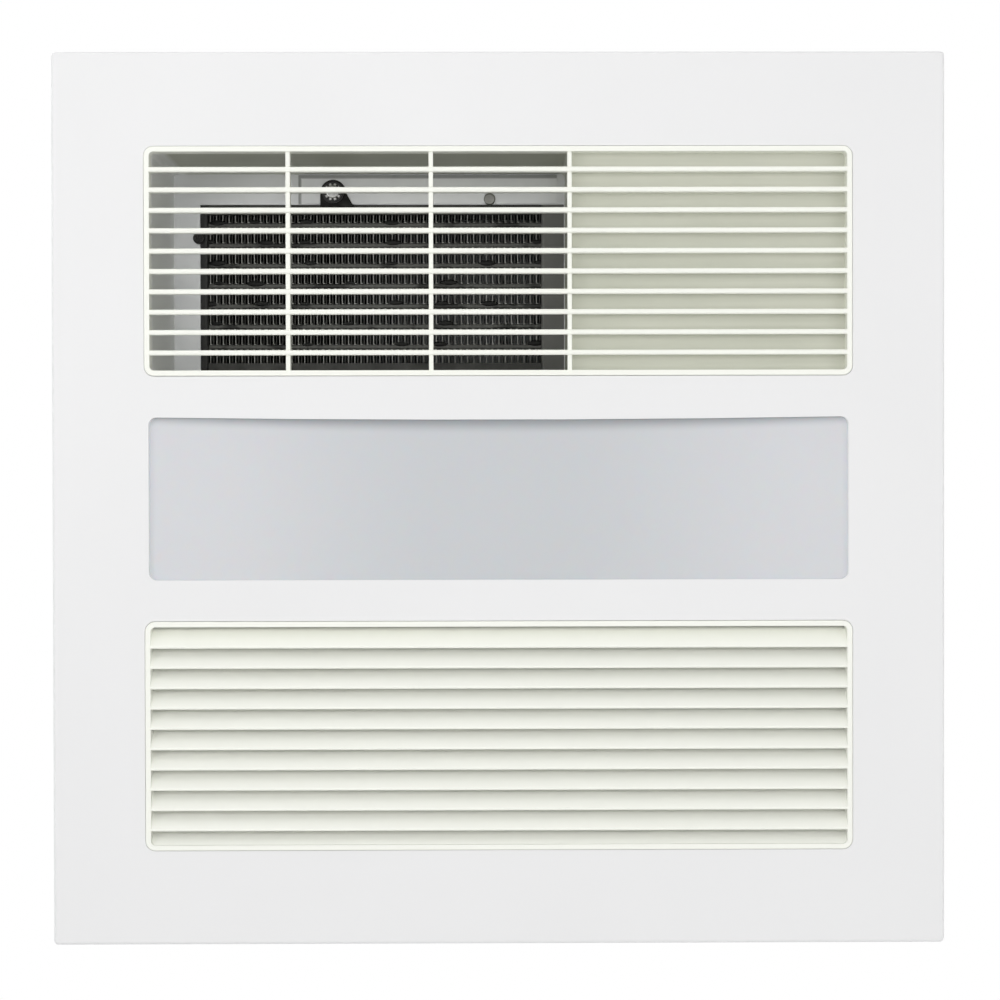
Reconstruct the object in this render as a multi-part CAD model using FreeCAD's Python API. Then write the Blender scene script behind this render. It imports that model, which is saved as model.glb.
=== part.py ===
import FreeCAD, Part
import math
import os

vec = FreeCAD.Vector

# A ceiling heater for a bathroom, with a fan and a light, as it hangs in its ceiling cut-out.
# Sizes are in millimetres. +Z is up and the room is below. The origin is the centre of the four
# ceiling screws, on the ceiling plane. Warm air leaves on the -Y side, room air enters on +Y.

# Fascia panel and its three windows, from the middle outwards: light, bridge, bay, border
light_width = 313.5
light_height = 73.0
light_corner = 3.6
light_bow = 1.2
bridge = 18.5
bay_width = 317.0
bay_height = 102.6
bay_corner = 4.3
side_border = 41.5
end_border = 42.4
panel_depth = 14.0
panel_wall = 2.5
panel_corner = 2.0
panel_round = 1.8
gusset_count = 5
gusset_reach = 8.0
gusset_height = 8.0
gusset_thick = 1.6

# Frames of the outlet grille and the intake louvre
frame_border = 2.4
frame_proud = 0.8
frame_round = 0.6
frame_depth = 7.0
lip_width = 6.5
lip_thick = 2.0
window_gap = 0.2
bar_count = 10
bar_thick = 2.3
bar_nose = 0.9
bar_draft = 0.35
rib_bays = 5
rib_shifts = (-0.54, 1.02, 0.68)
rib_thick = 1.9
rib_setback = 1.2
outlet_step = 1.15
weld = 0.5
blank_thick = 2.0
blank_gap = 0.3
blade_count = 11
blade_thick = 1.5
blade_rise = 9.0
blade_overlap = 0.7
blade_setback = 0.3
blade_crown = 0.5

# Posts with press-on nuts that hold the grilles and the light on the fascia
post_radius = 2.0
post_stick = 2.4
post_inset = 45.0
post_play = 0.25
nut_radius = 2.9
nut_thick = 0.6
press_ease = 0.02

# Light behind its diffuser
diffuser_lap = 3.0
diffuser_thick = 2.0
tray_depth = 18.0
tray_sheet = 1.0
tray_gap = 2.0
board_margin = 10.0
board_width = 44.0
board_thick = 1.6
chip_length = 3.5
chip_width = 2.8
chip_height = 0.8
chip_pitch = 20.0
chip_row_gap = 24.0
plug_length = 14.0
plug_width = 9.0
plug_height = 7.0
plug_wall = 1.5
plug_floor = 2.3
plug_inset = 30.0

# Studs that hold the fascia in sockets under the housing flange
stud_pitch = 220.0
stud_radius = 3.0
stud_tip_gap = 0.5
stud_round = 1.5
stud_root_radius = 2.0
stud_boss_radius = 5.0
stud_boss_height = 3.0
stud_play = 0.2
socket_radius = 6.5
socket_gap = 0.3
socket_floor = 1.5

# Housing of folded galvanised sheet
sheet = 1.2
side_margin = 4.3
end_margin = 5.2
housing_round = 1.0
flange_width = 20.0
flange_corner = 3.0
lap_width = 12.0
lap_end = 9.0
ceiling_screw_pitch = 210.0
ceiling_hole_radius = 2.75
bead_count = 3
bead_width = 9.0
bead_height = 1.0
bead_flat = 0.2
bead_foot = 26.0
bead_head = 26.0
bead_pitch = 90.0

# Warm-air outlet: collar, mount plate and the walls of the warm chamber
collar_wall = 1.8
collar_corner = 2.0
collar_clear = 0.4
collar_step = 0.9
outlet_depth = 58.0
partition_gap = 0.4
cross_gap = 4.0
wall_foot = 3.2
wall_tab = 12.0
tab_length = 70.0

# PTC heater
heater_side_gap = 10.8
heater_wall_gap = 3.6
heater_shelf = 14.4
heater_depth = 20.0
rail_web = 0.9
rail_lip = 5.0
rail_hook = 0.7
rail_sheet = 1.2
rail_least = 4.0
cap_left = 12.0
cap_right = 13.5
cap_lap = 3.6
cap_round = 1.5
row_pitch = 9.84
fin_pitch = 3.0
fin_thick = 0.3
fin_depth = 14.0
fin_inset = 2.5
tube_thick = 2.2
tube_round = 0.7
tube_end = 4.0
window_lap = 0.3
window_strip = 2.5
blade_term_width = 6.3
blade_term_thick = 0.8
blade_term_reach = 12.0
blade_term_root = 6.0
blade_term_count = 3
blade_term_pitch = 26.0
blade_term_play = 1.0

# Strip, cut-out and screws on the mount plate
strip_thick = 1.2
strip_left = 44.0
strip_right = 6.0
strip_edge = 0.6
cutout_inset = 60.75
cutout_offset = 5.2
cutout_radius = 4.4
cutout_flange_radius = 5.2
cutout_flange = 1.2
cutout_front = 2.6
cutout_back = 8.0
cap_radius = 3.2
cap_height = 1.4
cap_edge = 0.7
tooth_count = 10
tooth_reach = 0.9
tooth_width = 1.1
tooth_thick = 0.5
bracket_thick = 1.0
bracket_half = 6.2
bracket_spread = 10.0
hole_play = 0.15
strip_screw_inset = 24.9
strip_screw_offset = 2.0
cap_screw_inset = 0.5
cap_screw_gap = 0.3
small_head_radius = 2.8
small_head_height = 2.0
small_shank_radius = 1.6
small_shank_length = 5.0
head_round = 0.7
recess_width = 0.9
recess_reach = 1.7
recess_depth = 1.0

# Blower wheel and its scroll casing
wheel_radius = 72.0
wheel_height = 68.0
wheel_band = 12.0
wheel_blade_count = 40
wheel_blade_thick = 1.0
wheel_blade_sweep = 9.0
wheel_blade_bend = 2.2
wheel_plate = 2.0
wheel_ring = 2.5
cup_gap = 3.0
cup_wall = 1.5
cup_floor = 2.0
cup_axial_gap = 5.0
hub_radius = 10.0
hub_length = 12.0
scroll_gap = 7.0
spiral_step = 10.0
scroll_sheet = 1.5
scroll_side_gap = 3.0
wheel_low_gap = 7.5
wheel_high_gap = 11.5
standoff_height = 23.8
standoff_width = 10.0
standoff_offset = 46.0
inlet_gap = 3.0
inlet_wall = 1.5
inlet_round = 4.0
inlet_flange = 6.0
inlet_clear = 1.5

# Blower motor
motor_radius = 41.0
motor_length = 46.0
motor_wall = 1.5
bell_thick = 3.0
bearing_radius = 9.0
bearing_length = 8.0
bearing_play = 0.05
shaft_radius = 4.0
shaft_top_gap = 1.0
shaft_end = 1.5
rotor_radius = 23.0
rotor_gap = 0.6
core_length = 20.0
winding_height = 7.0
winding_inset = 3.0
wheel_nut_width = 13.0
wheel_nut_height = 6.0
motor_screw_ring = 32.0
motor_screw_count = 3
motor_screw_head = 3.8
motor_screw_head_height = 2.4
motor_screw_radius = 2.0

# Duct spigot with its two backdraught flaps
spigot_radius = 49.0
spigot_wall = 2.0
spigot_length = 50.0
spigot_flange_side = 9.0
spigot_flange_rise = 3.0
spigot_flange_thick = 3.0
spigot_flange_corner = 4.0
spigot_roof_gap = 6.8
spigot_screw_x = 50.0
spigot_screw_z = 44.0
gasket_thick = 1.5
seat_gap = 0.5
seat_clear = 1.0
pin_radius = 1.5
pin_inset = 3.5
pin_end_inset = 0.5
pin_play = 0.05
knuckle_radius = 2.5
knuckle_length = 18.0
knuckle_gap = 2.0
leaf_thick = 1.2
leaf_play = 0.8
leaf_root = 3.0
stop_width = 2.5
stop_thick = 1.5
stop_gap = 0.3

# Changeover flap, its shaft and its motor
flap_thick = 1.5
flap_wall_gap = 6.0
flap_heater_gap = 4.3
flap_end_gap = 2.0
flap_side_gap = 0.6
flap_tube_radius = 4.5
flap_shaft_radius = 3.0
flap_shaft_end = 0.5
flap_shaft_drive = 7.0
flap_seal = 3.0
bush_radius = 6.0
bush_length = 2.5
bush_play = 0.05
damper_radius = 14.0
damper_length = 19.0
damper_offset = 8.5
damper_ear_reach = 18.0
damper_ear_width = 7.0
damper_ear_thick = 1.0
damper_lead_width = 14.0
damper_lead_height = 5.0
damper_lead_depth = 6.0

# Wiring compartment
terminal_depth = 18.0
terminal_height = 24.0
terminal_pitch = 11.0
terminal_ways = 5
terminal_slot = 1.2
terminal_slot_depth = 6.0
terminal_drop = 44.0
terminal_screw_radius = 2.2
terminal_screw_height = 0.8
gland_thread_radius = 8.0
gland_bore_radius = 4.5
gland_hex = 22.0
gland_hex_length = 6.0
gland_cap_radius = 9.5
gland_cap_length = 11.0
gland_cap_round = 2.75
gland_nut_length = 5.0
gland_tail = 8.0
gland_drop = 44.0
cover_lip = 12.0
cover_screw_inset = 22.0
earth_radius = 2.0
earth_washer_radius = 5.0
earth_washer_thick = 1.0
earth_nut_width = 7.0
earth_nut_height = 3.2
earth_length = 14.0
earth_inset = 30.0
earth_height = 60.0
driver_depth = 28.0
driver_length = 90.0
driver_height = 42.0
driver_corner = 2.0
driver_ear = 9.0
driver_ear_thick = 1.5
driver_gap = 10.0
driver_drop = 70.0
capacitor_depth = 20.0
capacitor_length = 48.0
capacitor_height = 32.0
capacitor_corner = 3.0
capacitor_inset = 50.0
capacitor_drop = 70.0

# Hex-head case screws
case_head_width = 7.0
case_head_height = 2.6
case_flange_radius = 4.4
case_flange_thick = 0.7
case_shank_radius = 1.9
case_bite = 0.4
case_hole_play = 0.1

over = 1.0
tolerance = 1e-6

# Levels and places that follow from the sizes above
bay_y = light_height / 2 + bridge + bay_height / 2
panel_x = bay_width + 2 * side_border
panel_y = light_height + 2 * (bridge + bay_height + end_border)
front_z = -panel_depth
inner_z = front_z + panel_wall
frame_front_z = front_z - frame_proud
frame_back_z = frame_front_z + frame_depth
open_x = bay_width - 2 * frame_border
open_y = bay_height - 2 * frame_border
slot_pitch = (open_y + bar_thick) / (bar_count + 1)
rib_lines = [open_x * (i + 1) / rib_bays - open_x / 2 for i in range(len(rib_shifts))]
rib_places = [line_x + shift for line_x, shift in zip(rib_lines, rib_shifts)]
outlet_edge_x = rib_lines[-1] + outlet_step

lip_top_z = inner_z + lip_thick
diffuser_top_z = inner_z + diffuser_thick
tray_top_z = diffuser_top_z + tray_depth
tray_flange_top_z = diffuser_top_z + tray_sheet
tray_lip = bridge - lip_width - diffuser_lap - tray_gap
tray_post_y = light_height / 2 + diffuser_lap + tray_lip / 2
post_x = bay_width / 2 - post_inset

in_x = bay_width / 2 + side_margin
in_y = bay_y + bay_height / 2 + end_margin
out_x = in_x + sheet
out_y = in_y + sheet
flange_mid_x = out_x + flange_width / 2
flange_mid_y = out_y + flange_width / 2
stud_base_z = inner_z + stud_boss_height
stud_top_z = -sheet - socket_floor - stud_tip_gap

collar_x = (-open_x / 2, outlet_edge_x)
collar_y = (-bay_y - open_y / 2 - collar_step, -bay_y + open_y / 2)
partition_face = outlet_edge_x + collar_wall + partition_gap
partition_x = (partition_face, partition_face + sheet)
cross_y = (-bay_y + bay_height / 2 + cross_gap - sheet, -bay_y + bay_height / 2 + cross_gap)
plate_z = (outlet_depth, outlet_depth + sheet)

heater_x = (-in_x + heater_side_gap, partition_x[0])
heater_y = (collar_y[0] + heater_shelf, cross_y[0] - heater_wall_gap)
heater_z = (plate_z[1], plate_z[1] + heater_depth)
core_x = (heater_x[0] + cap_left, heater_x[1] - cap_right)
fin_z = (heater_z[0] + fin_inset, heater_z[0] + fin_inset + fin_depth)
fin_height = row_pitch - tube_thick
fin_room = heater_y[1] - heater_y[0] - rail_web - rail_least
fin_rows = int((fin_room + tube_thick) / row_pitch)
tube_count = fin_rows - 1
row_y = (heater_y[0] + rail_web, heater_y[0] + rail_web + tube_count * row_pitch + fin_height)

strip_z = (plate_z[0] - strip_thick, plate_z[0])
bracket_z = (strip_z[0] - bracket_thick, strip_z[0])
cutout_at = (core_x[0] + cutout_inset, heater_y[0] - cutout_offset)
strip_screw_at = (core_x[1] - strip_screw_inset, heater_y[0] - strip_screw_offset)
window_x = (core_x[0] - cap_lap, heater_x[1] - window_strip)
window_y = (heater_y[0] + window_lap, heater_y[1] - window_lap)
cap_screw_at = (window_x[0] - cap_screw_inset,
                row_y[0] + row_pitch + fin_height - cap_screw_gap - small_shank_radius)

hinge_y = -in_y + flap_wall_gap
hinge_z = heater_z[1] + flap_heater_gap
spigot_z = hinge_z + flap_tube_radius + seat_clear + spigot_radius
spigot_x = (-in_x + partition_x[0]) / 2
roof_z = spigot_z + spigot_radius - spigot_wall + spigot_roof_gap
housing_height = roof_z + sheet
flap_length = min(roof_z - hinge_z, cross_y[0] - hinge_y) - flap_end_gap
flap_x = (-in_x + bush_length + flap_side_gap, partition_x[0] - bush_length - flap_side_gap)
seat_y = hinge_y - flap_thick / 2 - seat_gap
gasket_y = -out_y - gasket_thick
spigot_face_y = gasket_y - spigot_flange_thick
pin_y = spigot_face_y - pin_inset
spigot_end_y = spigot_face_y - spigot_length

scroll_top_z = roof_z - standoff_height
cover_z = scroll_top_z - scroll_sheet
wheel_top_z = cover_z - wheel_high_gap
wheel_base_z = wheel_top_z - wheel_height
floor_z = wheel_base_z - wheel_low_gap - scroll_sheet
scroll_radius = wheel_radius + scroll_gap
axis_x = -in_x + scroll_side_gap + scroll_sheet + scroll_radius + 3 * spiral_step
axis_y = in_y - scroll_side_gap - scroll_sheet - scroll_radius - spiral_step
mouth_y = cross_y[1]
mouth_x = (axis_x - scroll_radius - 3 * spiral_step, axis_x)
wheel_inner = wheel_radius - wheel_band
inlet_radius = wheel_inner - inlet_gap

motor_z = (cover_z - motor_length, cover_z)
bell_z = cover_z - bell_thick
core_mid_z = (motor_z[0] + bell_z) / 2
cup_radius = motor_radius + cup_gap
cup_floor_z = motor_z[0] - cup_axial_gap
hub_base_z = cup_floor_z - hub_length
shaft_z = (hub_base_z - wheel_nut_height - shaft_end, cover_z - shaft_top_gap)

terminal_z = roof_z - terminal_drop
gland_z = roof_z - gland_drop
driver_z = roof_z - driver_drop
capacitor_z = roof_z - capacitor_drop
capacitor_y = in_y - capacitor_inset
driver_y = capacitor_y - capacitor_length / 2 - driver_gap - driver_ear - driver_length / 2


# Shapes that several pieces use

def box(x, y, z):
    return Part.makeBox(x[1] - x[0], y[1] - y[0], z[1] - z[0], vec(x[0], y[0], z[0]))


def edges_along(shape, axis):
    return [edge for edge in shape.Edges
            if abs(edge.tangentAt(edge.FirstParameter).dot(axis)) > 1 - tolerance]


def edges_at(shape, z):
    return [edge for edge in shape.Edges if all(abs(end.Z - z) < tolerance for end in edge.Vertexes)]


def slab(width, height, corner, z, y=0.0):
    block = box((-width / 2, width / 2), (y - height / 2, y + height / 2), z)
    return block.makeFillet(corner, edges_along(block, vec(0, 0, 1)))


def rod(radius, start, end):
    return Part.makeCylinder(radius, end.sub(start).Length, start, end.sub(start))


def upright(radius, at, z):
    return rod(radius, vec(at[0], at[1], z[0]), vec(at[0], at[1], z[1]))


def prism(points, direction):
    return Part.Face(Part.makePolygon(points + points[:1])).extrude(direction)


def hexagon(width, start, end):
    across = width / math.sqrt(3)
    axis = end.sub(start)
    corners = [vec(across * math.cos(math.radians(60 * i)), across * math.sin(math.radians(60 * i)), 0)
               for i in range(6)]
    blank = prism(corners, vec(0, 0, axis.Length))
    blank.Placement = FreeCAD.Placement(start, FreeCAD.Rotation(vec(0, 0, 1), axis))
    return blank


def turned(profile, at):
    face = Part.Face(Part.makePolygon([vec(r, 0, z) for r, z in profile + profile[:1]]))
    solid = face.revolve(vec(0, 0, 0), vec(0, 0, 1), 360)
    solid.translate(vec(at[0], at[1], 0))
    return solid


def arc(start, middle, end):
    return Part.Arc(start, middle, end).toShape()


def line(start, end):
    return Part.LineSegment(start, end).toShape()


def joined(shapes):
    return shapes[0].fuse(shapes[1:]).removeSplitter()


def group(shapes):
    return Part.makeCompound(shapes)


def cross_recess(face, direction):
    half = recess_width / 2
    depth = (-over, recess_depth)
    cross = box((-recess_reach, recess_reach), (-half, half), depth)
    cross = cross.fuse(box((-half, half), (-recess_reach, recess_reach), depth)).removeSplitter()
    cross.Placement = FreeCAD.Placement(face, FreeCAD.Rotation(vec(0, 0, 1), direction))
    return cross


def pan_screw(at, direction, head_radius, head_height, shank_radius, shank_length):
    head = rod(head_radius, at, at.sub(direction * head_height))
    head = head.makeFillet(head_round, [head.Edges[0]])
    screw = head.fuse(rod(shank_radius, at, at.add(direction * shank_length))).removeSplitter()
    return screw.cut(cross_recess(at.sub(direction * head_height), direction))


def case_screw(at, direction, depth):
    washer = rod(case_flange_radius, at, at.sub(direction * case_flange_thick))
    head = hexagon(case_head_width, at, at.sub(direction * case_head_height))
    shank = rod(case_shank_radius, at, at.add(direction * (depth + case_bite)))
    return joined([washer, head, shank])


def small_hole(at, direction, depth):
    return rod(small_shank_radius + hole_play, at.sub(direction * over), at.add(direction * depth))


# Fascia panel with its windows, posts, stud bosses and gussets

def bay_posts(side):
    return [(x, side * bay_y + y) for x in (-post_x, post_x)
            for y in (-(bay_height + lip_width) / 2, (bay_height + lip_width) / 2)]


def tray_posts():
    return [(x, y) for x in (-post_x, post_x) for y in (-tray_post_y, tray_post_y)]


def stud_places():
    return [(x, y) for x in (-stud_pitch / 2, stud_pitch / 2) for y in (-flange_mid_y, flange_mid_y)]


def light_sag():
    left = vec(light_corner - light_width / 2, -light_height / 2, front_z)
    right = vec(light_width / 2 - light_corner, -light_height / 2, front_z)
    crest = vec(0, light_bow - light_height / 2, front_z)
    outline = Part.Wire([arc(left, crest, right), line(right, left)])
    return Part.Face(outline).extrude(vec(0, 0, panel_wall))


def gussets():
    reach_x = panel_x / 2 - panel_wall
    reach_y = panel_y / 2 - panel_wall
    height = (inner_z, inner_z + gusset_height)
    ribs = []
    for i in range(gusset_count):
        share = (i + 1) / (gusset_count + 1) - 0.5
        across_x = (share * panel_x - gusset_thick / 2, share * panel_x + gusset_thick / 2)
        across_y = (share * panel_y - gusset_thick / 2, share * panel_y + gusset_thick / 2)
        for side in (-1, 1):
            along_x = sorted((side * reach_x, side * (reach_x - gusset_reach)))
            along_y = sorted((side * reach_y, side * (reach_y - gusset_reach)))
            ribs.append(box(along_x, across_y, height))
            ribs.append(box(across_x, along_y, height))
    return ribs


def fascia_panel():
    shell = slab(panel_x, panel_y, panel_corner, (front_z, 0.0))
    shell = shell.makeFillet(panel_round, edges_at(shell, front_z))
    pocket_x = panel_x / 2 - panel_wall
    pocket_y = panel_y / 2 - panel_wall
    shell = shell.cut(box((-pocket_x, pocket_x), (-pocket_y, pocket_y), (inner_z, over)))
    cut_z = (front_z - over, inner_z + over)
    for side in (-1, 1):
        shell = shell.cut(slab(bay_width + 2 * window_gap, bay_height + 2 * window_gap,
                               bay_corner + window_gap, cut_z, side * bay_y))
    shell = shell.cut(slab(light_width, light_height, light_corner, cut_z))
    pieces = [shell, light_sag()] + gussets()
    for at in bay_posts(-1) + bay_posts(1):
        pieces.append(upright(post_radius, at, (inner_z, lip_top_z + post_stick)))
    for at in tray_posts():
        pieces.append(upright(post_radius, at, (inner_z, tray_flange_top_z + post_stick)))
    boss_z = (inner_z, stud_base_z)
    for at in stud_places():
        boss = upright(stud_boss_radius, at, boss_z)
        pieces.append(boss.cut(upright(stud_root_radius, at, boss_z)))
    return joined(pieces)


def fascia_studs():
    studs = []
    for at in stud_places():
        root = upright(stud_root_radius - press_ease, at, (inner_z, stud_base_z))
        shank = upright(stud_radius, at, (stud_base_z, stud_top_z))
        shank = shank.makeFillet(stud_round, edges_at(shank, stud_top_z))
        studs.append(root.fuse(shank).removeSplitter())
    return group(studs)


def stud_sockets():
    sockets = []
    for at in stud_places():
        cup = upright(socket_radius, at, (stud_base_z + socket_gap, -sheet))
        bore = upright(stud_radius + stud_play, at, (stud_base_z, -sheet - socket_floor))
        sockets.append(cup.cut(bore))
    return group(sockets)


# Outlet grille, blank plate and intake louvre

def bay_frame(side):
    y = side * bay_y
    rim = slab(bay_width, bay_height, bay_corner, (frame_front_z, frame_back_z), y)
    rim = rim.makeFillet(frame_round, edges_at(rim, frame_front_z))
    lip = slab(bay_width + 2 * lip_width, bay_height + 2 * lip_width, bay_corner, (inner_z, lip_top_z), y)
    hole = slab(open_x, open_y, bay_corner - frame_border, (frame_front_z - over, frame_back_z + over), y)
    frame = rim.fuse(lip).cut(hole)
    for at in bay_posts(side):
        frame = frame.cut(upright(post_radius + post_play, at, (inner_z - over, lip_top_z + over)))
    return frame


def grille_bar(y):
    x = -open_x / 2 - weld
    low, high = y - bar_thick / 2, y + bar_thick / 2
    bend = bar_nose * (1 - math.sqrt(0.5))
    tip, shoulder = frame_front_z, frame_front_z + bar_nose
    outline = Part.Wire([
        line(vec(x, low + bar_draft, frame_back_z), vec(x, low, shoulder)),
        arc(vec(x, low, shoulder), vec(x, low + bend, tip + bend), vec(x, low + bar_nose, tip)),
        line(vec(x, low + bar_nose, tip), vec(x, high - bar_nose, tip)),
        arc(vec(x, high - bar_nose, tip), vec(x, high - bend, tip + bend), vec(x, high, shoulder)),
        line(vec(x, high, shoulder), vec(x, high - bar_draft, frame_back_z)),
        line(vec(x, high - bar_draft, frame_back_z), vec(x, low + bar_draft, frame_back_z))])
    return Part.Face(outline).extrude(vec(open_x + 2 * weld, 0, 0))


def heater_outlet_grille():
    first = -bay_y - open_y / 2 - bar_thick / 2
    bars = [grille_bar(first + (i + 1) * slot_pitch) for i in range(bar_count)]
    reach_y = (-bay_y - open_y / 2 - weld, -bay_y + open_y / 2 + weld)
    ribs = [box((x - rib_thick / 2, x + rib_thick / 2), reach_y, (frame_front_z + rib_setback, frame_back_z))
            for x in rib_places]
    return joined([bay_frame(-1)] + bars + ribs)


def blank_room(grow):
    x = (rib_places[-1] - grow, bay_width / 2 + grow)
    y = (-bay_y - bay_height / 2 - grow, -bay_y + bay_height / 2 + grow)
    return box(x, y, (frame_back_z - grow, frame_back_z + blank_thick + grow))


def outlet_blank_plate():
    return blank_room(0.0)


def louvre_blade(nose_y):
    x = -open_x / 2 - weld
    front = frame_front_z + blade_setback
    run = slot_pitch + blade_overlap - blade_thick
    length = math.hypot(run, blade_rise)
    inward = vec(0, blade_rise / length, run / length)
    tip = vec(x, nose_y - blade_thick / 2, front)
    root = vec(x, tip.y - run, front + blade_rise)
    middle = (tip + root) * 0.5 - inward * blade_crown
    back_tip = tip + inward * blade_thick
    back_root = root + inward * blade_thick
    back_middle = middle + inward * blade_thick
    nose = (tip + back_tip) * 0.5 + vec(0, run / length, -blade_rise / length) * (blade_thick / 2)
    outline = Part.Wire([arc(root, middle, tip), arc(tip, nose, back_tip),
                         arc(back_tip, back_middle, back_root), line(back_root, root)])
    return Part.Face(outline).extrude(vec(open_x + 2 * weld, 0, 0))


def intake_louvre():
    first = bay_y - open_y / 2
    room = box((-bay_width, bay_width), (first - weld, first + open_y + weld),
               (frame_front_z, frame_back_z + blade_rise))
    blades = [louvre_blade(first + (i + 1) * slot_pitch).common(room) for i in range(blade_count)]
    return joined([bay_frame(1)] + blades)


# Light: diffuser, tray, board, chips, plug

def light_diffuser():
    return slab(light_width + 2 * diffuser_lap, light_height + 2 * diffuser_lap, light_corner + diffuser_lap,
                (inner_z, diffuser_top_z))


def led_tray():
    flange = slab(light_width + 2 * diffuser_lap, light_height + 2 * (diffuser_lap + tray_lip), light_corner,
                  (diffuser_top_z, tray_flange_top_z))
    pan = slab(light_width + 2 * tray_sheet, light_height + 2 * tray_sheet, light_corner + tray_sheet,
               (diffuser_top_z, tray_top_z))
    pan = pan.makeFillet(tray_sheet, edges_at(pan, tray_top_z))
    hollow = slab(light_width, light_height, light_corner, (diffuser_top_z - over, tray_top_z - tray_sheet))
    tray = flange.fuse(pan).cut(hollow)
    cut_z = (diffuser_top_z - over, tray_flange_top_z + over)
    for at in tray_posts():
        tray = tray.cut(upright(post_radius + post_play, at, cut_z))
    return tray.removeSplitter()


def board_z():
    top = tray_top_z - tray_sheet
    return (top - board_thick, top)


def led_chips():
    low = board_z()[0]
    count = int((light_width - 2 * board_margin) / chip_pitch)
    chips = []
    for i in range(count):
        middle = (i - (count - 1) / 2) * chip_pitch
        x = (middle - chip_length / 2, middle + chip_length / 2)
        for row in (-chip_row_gap / 2, chip_row_gap / 2):
            chips.append(box(x, (row - chip_width / 2, row + chip_width / 2), (low - chip_height, low)))
    return chips


def led_board():
    half = light_width / 2 - board_margin
    board = box((-half, half), (-board_width / 2, board_width / 2), board_z())
    return group([board] + led_chips())


def led_connector():
    middle = light_width / 2 - plug_inset
    x = (middle - plug_length / 2, middle + plug_length / 2)
    half = plug_width / 2
    body = box(x, (-half, half), (tray_top_z, tray_top_z + plug_height))
    socket = box((x[0] + plug_wall, x[1] - plug_wall), (plug_wall - half, half - plug_wall),
                 (tray_top_z + plug_floor, tray_top_z + plug_height + over))
    return body.cut(socket)


def push_nuts():
    places = [(at, lip_top_z) for at in bay_posts(-1) + bay_posts(1)]
    places += [(at, tray_flange_top_z) for at in tray_posts()]
    nuts = []
    for at, z in places:
        disc = upright(nut_radius, at, (z, z + nut_thick))
        nuts.append(disc.cut(upright(post_radius + press_ease, at, (z - over, z + nut_thick + over))))
    return group(nuts)


# Housing and the sheet walls inside it

def ceiling_holes():
    return [(x, y) for x in (-flange_mid_x, flange_mid_x)
            for y in (-ceiling_screw_pitch / 2, ceiling_screw_pitch / 2)]


def standoff_places():
    return [(axis_x + x, axis_y + y) for x in (-standoff_offset, standoff_offset)
            for y in (-standoff_offset, standoff_offset)]


def tab_heights():
    top = roof_z - wall_tab
    return (top - tab_length, top)


def tab_screw_heights():
    low, high = tab_heights()
    return (low + wall_tab, high - wall_tab)


def wall_screws():
    screws = []
    tab_y = cross_y[1] + wall_tab / 2
    for z in tab_screw_heights():
        screws.append((vec(-out_x, tab_y, z), vec(1, 0, 0)))
        screws.append((vec(out_x, tab_y, z), vec(-1, 0, 0)))
        screws.append((vec(partition_x[1] + wall_tab / 2, -out_y, z), vec(0, 1, 0)))
    return screws


def spigot_screws():
    return [(vec(spigot_x + x, spigot_face_y, spigot_z + z), vec(0, 1, 0))
            for x in (-spigot_screw_x, spigot_screw_x) for z in (-spigot_screw_z, spigot_screw_z)]


def roof_screws():
    return [(vec(x, y, housing_height), vec(0, 0, -1)) for x, y in standoff_places()]


def screw_hole(at, direction, depth):
    start = at.sub(direction * over)
    end = at.add(direction * (depth + over))
    return rod(case_shank_radius + case_hole_play, start, end)


def pressed_bead(wall, along):
    z = (bead_foot, housing_height - bead_head)
    across = (along - bead_width / 2, along + bead_width / 2)
    if wall == "left":
        bead = box((-out_x - bead_height, -out_x), across, z)
    elif wall == "right":
        bead = box((out_x, out_x + bead_height), across, z)
    else:
        bead = box(across, (out_y, out_y + bead_height), z)
    outward = vec(0, 1, 0) if wall == "back" else vec(1, 0, 0)
    return bead.makeFillet((bead_width - bead_flat) / 2, edges_along(bead, outward))


def housing_beads(wall):
    return [pressed_bead(wall, (i - (bead_count - 1) / 2) * bead_pitch) for i in range(bead_count)]


def housing_roof():
    roof = box((-out_x, out_x), (-out_y, out_y), (roof_z, housing_height))
    roof = roof.makeFillet(housing_round, edges_along(roof, vec(0, 0, 1)) + edges_at(roof, housing_height))
    for at, direction in roof_screws():
        roof = roof.cut(screw_hole(at, direction, sheet))
    return roof


def housing_side_panels():
    reach_y = out_y + flange_width
    flange = slab(2 * (out_x + flange_width), 2 * reach_y, flange_corner, (-sheet, 0.0))
    for at in ceiling_holes():
        flange = flange.cut(upright(ceiling_hole_radius, at, (-sheet - over, over)))
    half = out_x + flange_width + over
    panels = []
    for side, wall_name in ((-1, "left"), (1, "right")):
        strip = flange.common(box(sorted((side * out_x, side * half)), (-reach_y, reach_y), (-sheet, 0.0)))
        wall = box(sorted((side * in_x, side * out_x)), (-in_y, in_y), (-sheet, roof_z))
        panel = joined([wall, strip] + housing_beads(wall_name))
        for at, direction in wall_screws():
            panel = panel.cut(screw_hole(at, direction, sheet))
        panels.append(panel)
    panels[1] = panels[1].cut(gland_rod(gland_thread_radius + hole_play,
                                        (in_x - over, out_x + bead_height + over)))
    for at in driver_screw_places():
        panels[1] = panels[1].cut(small_hole(at, vec(1, 0, 0), driver_ear_thick + sheet))
    return group(panels)


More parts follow.
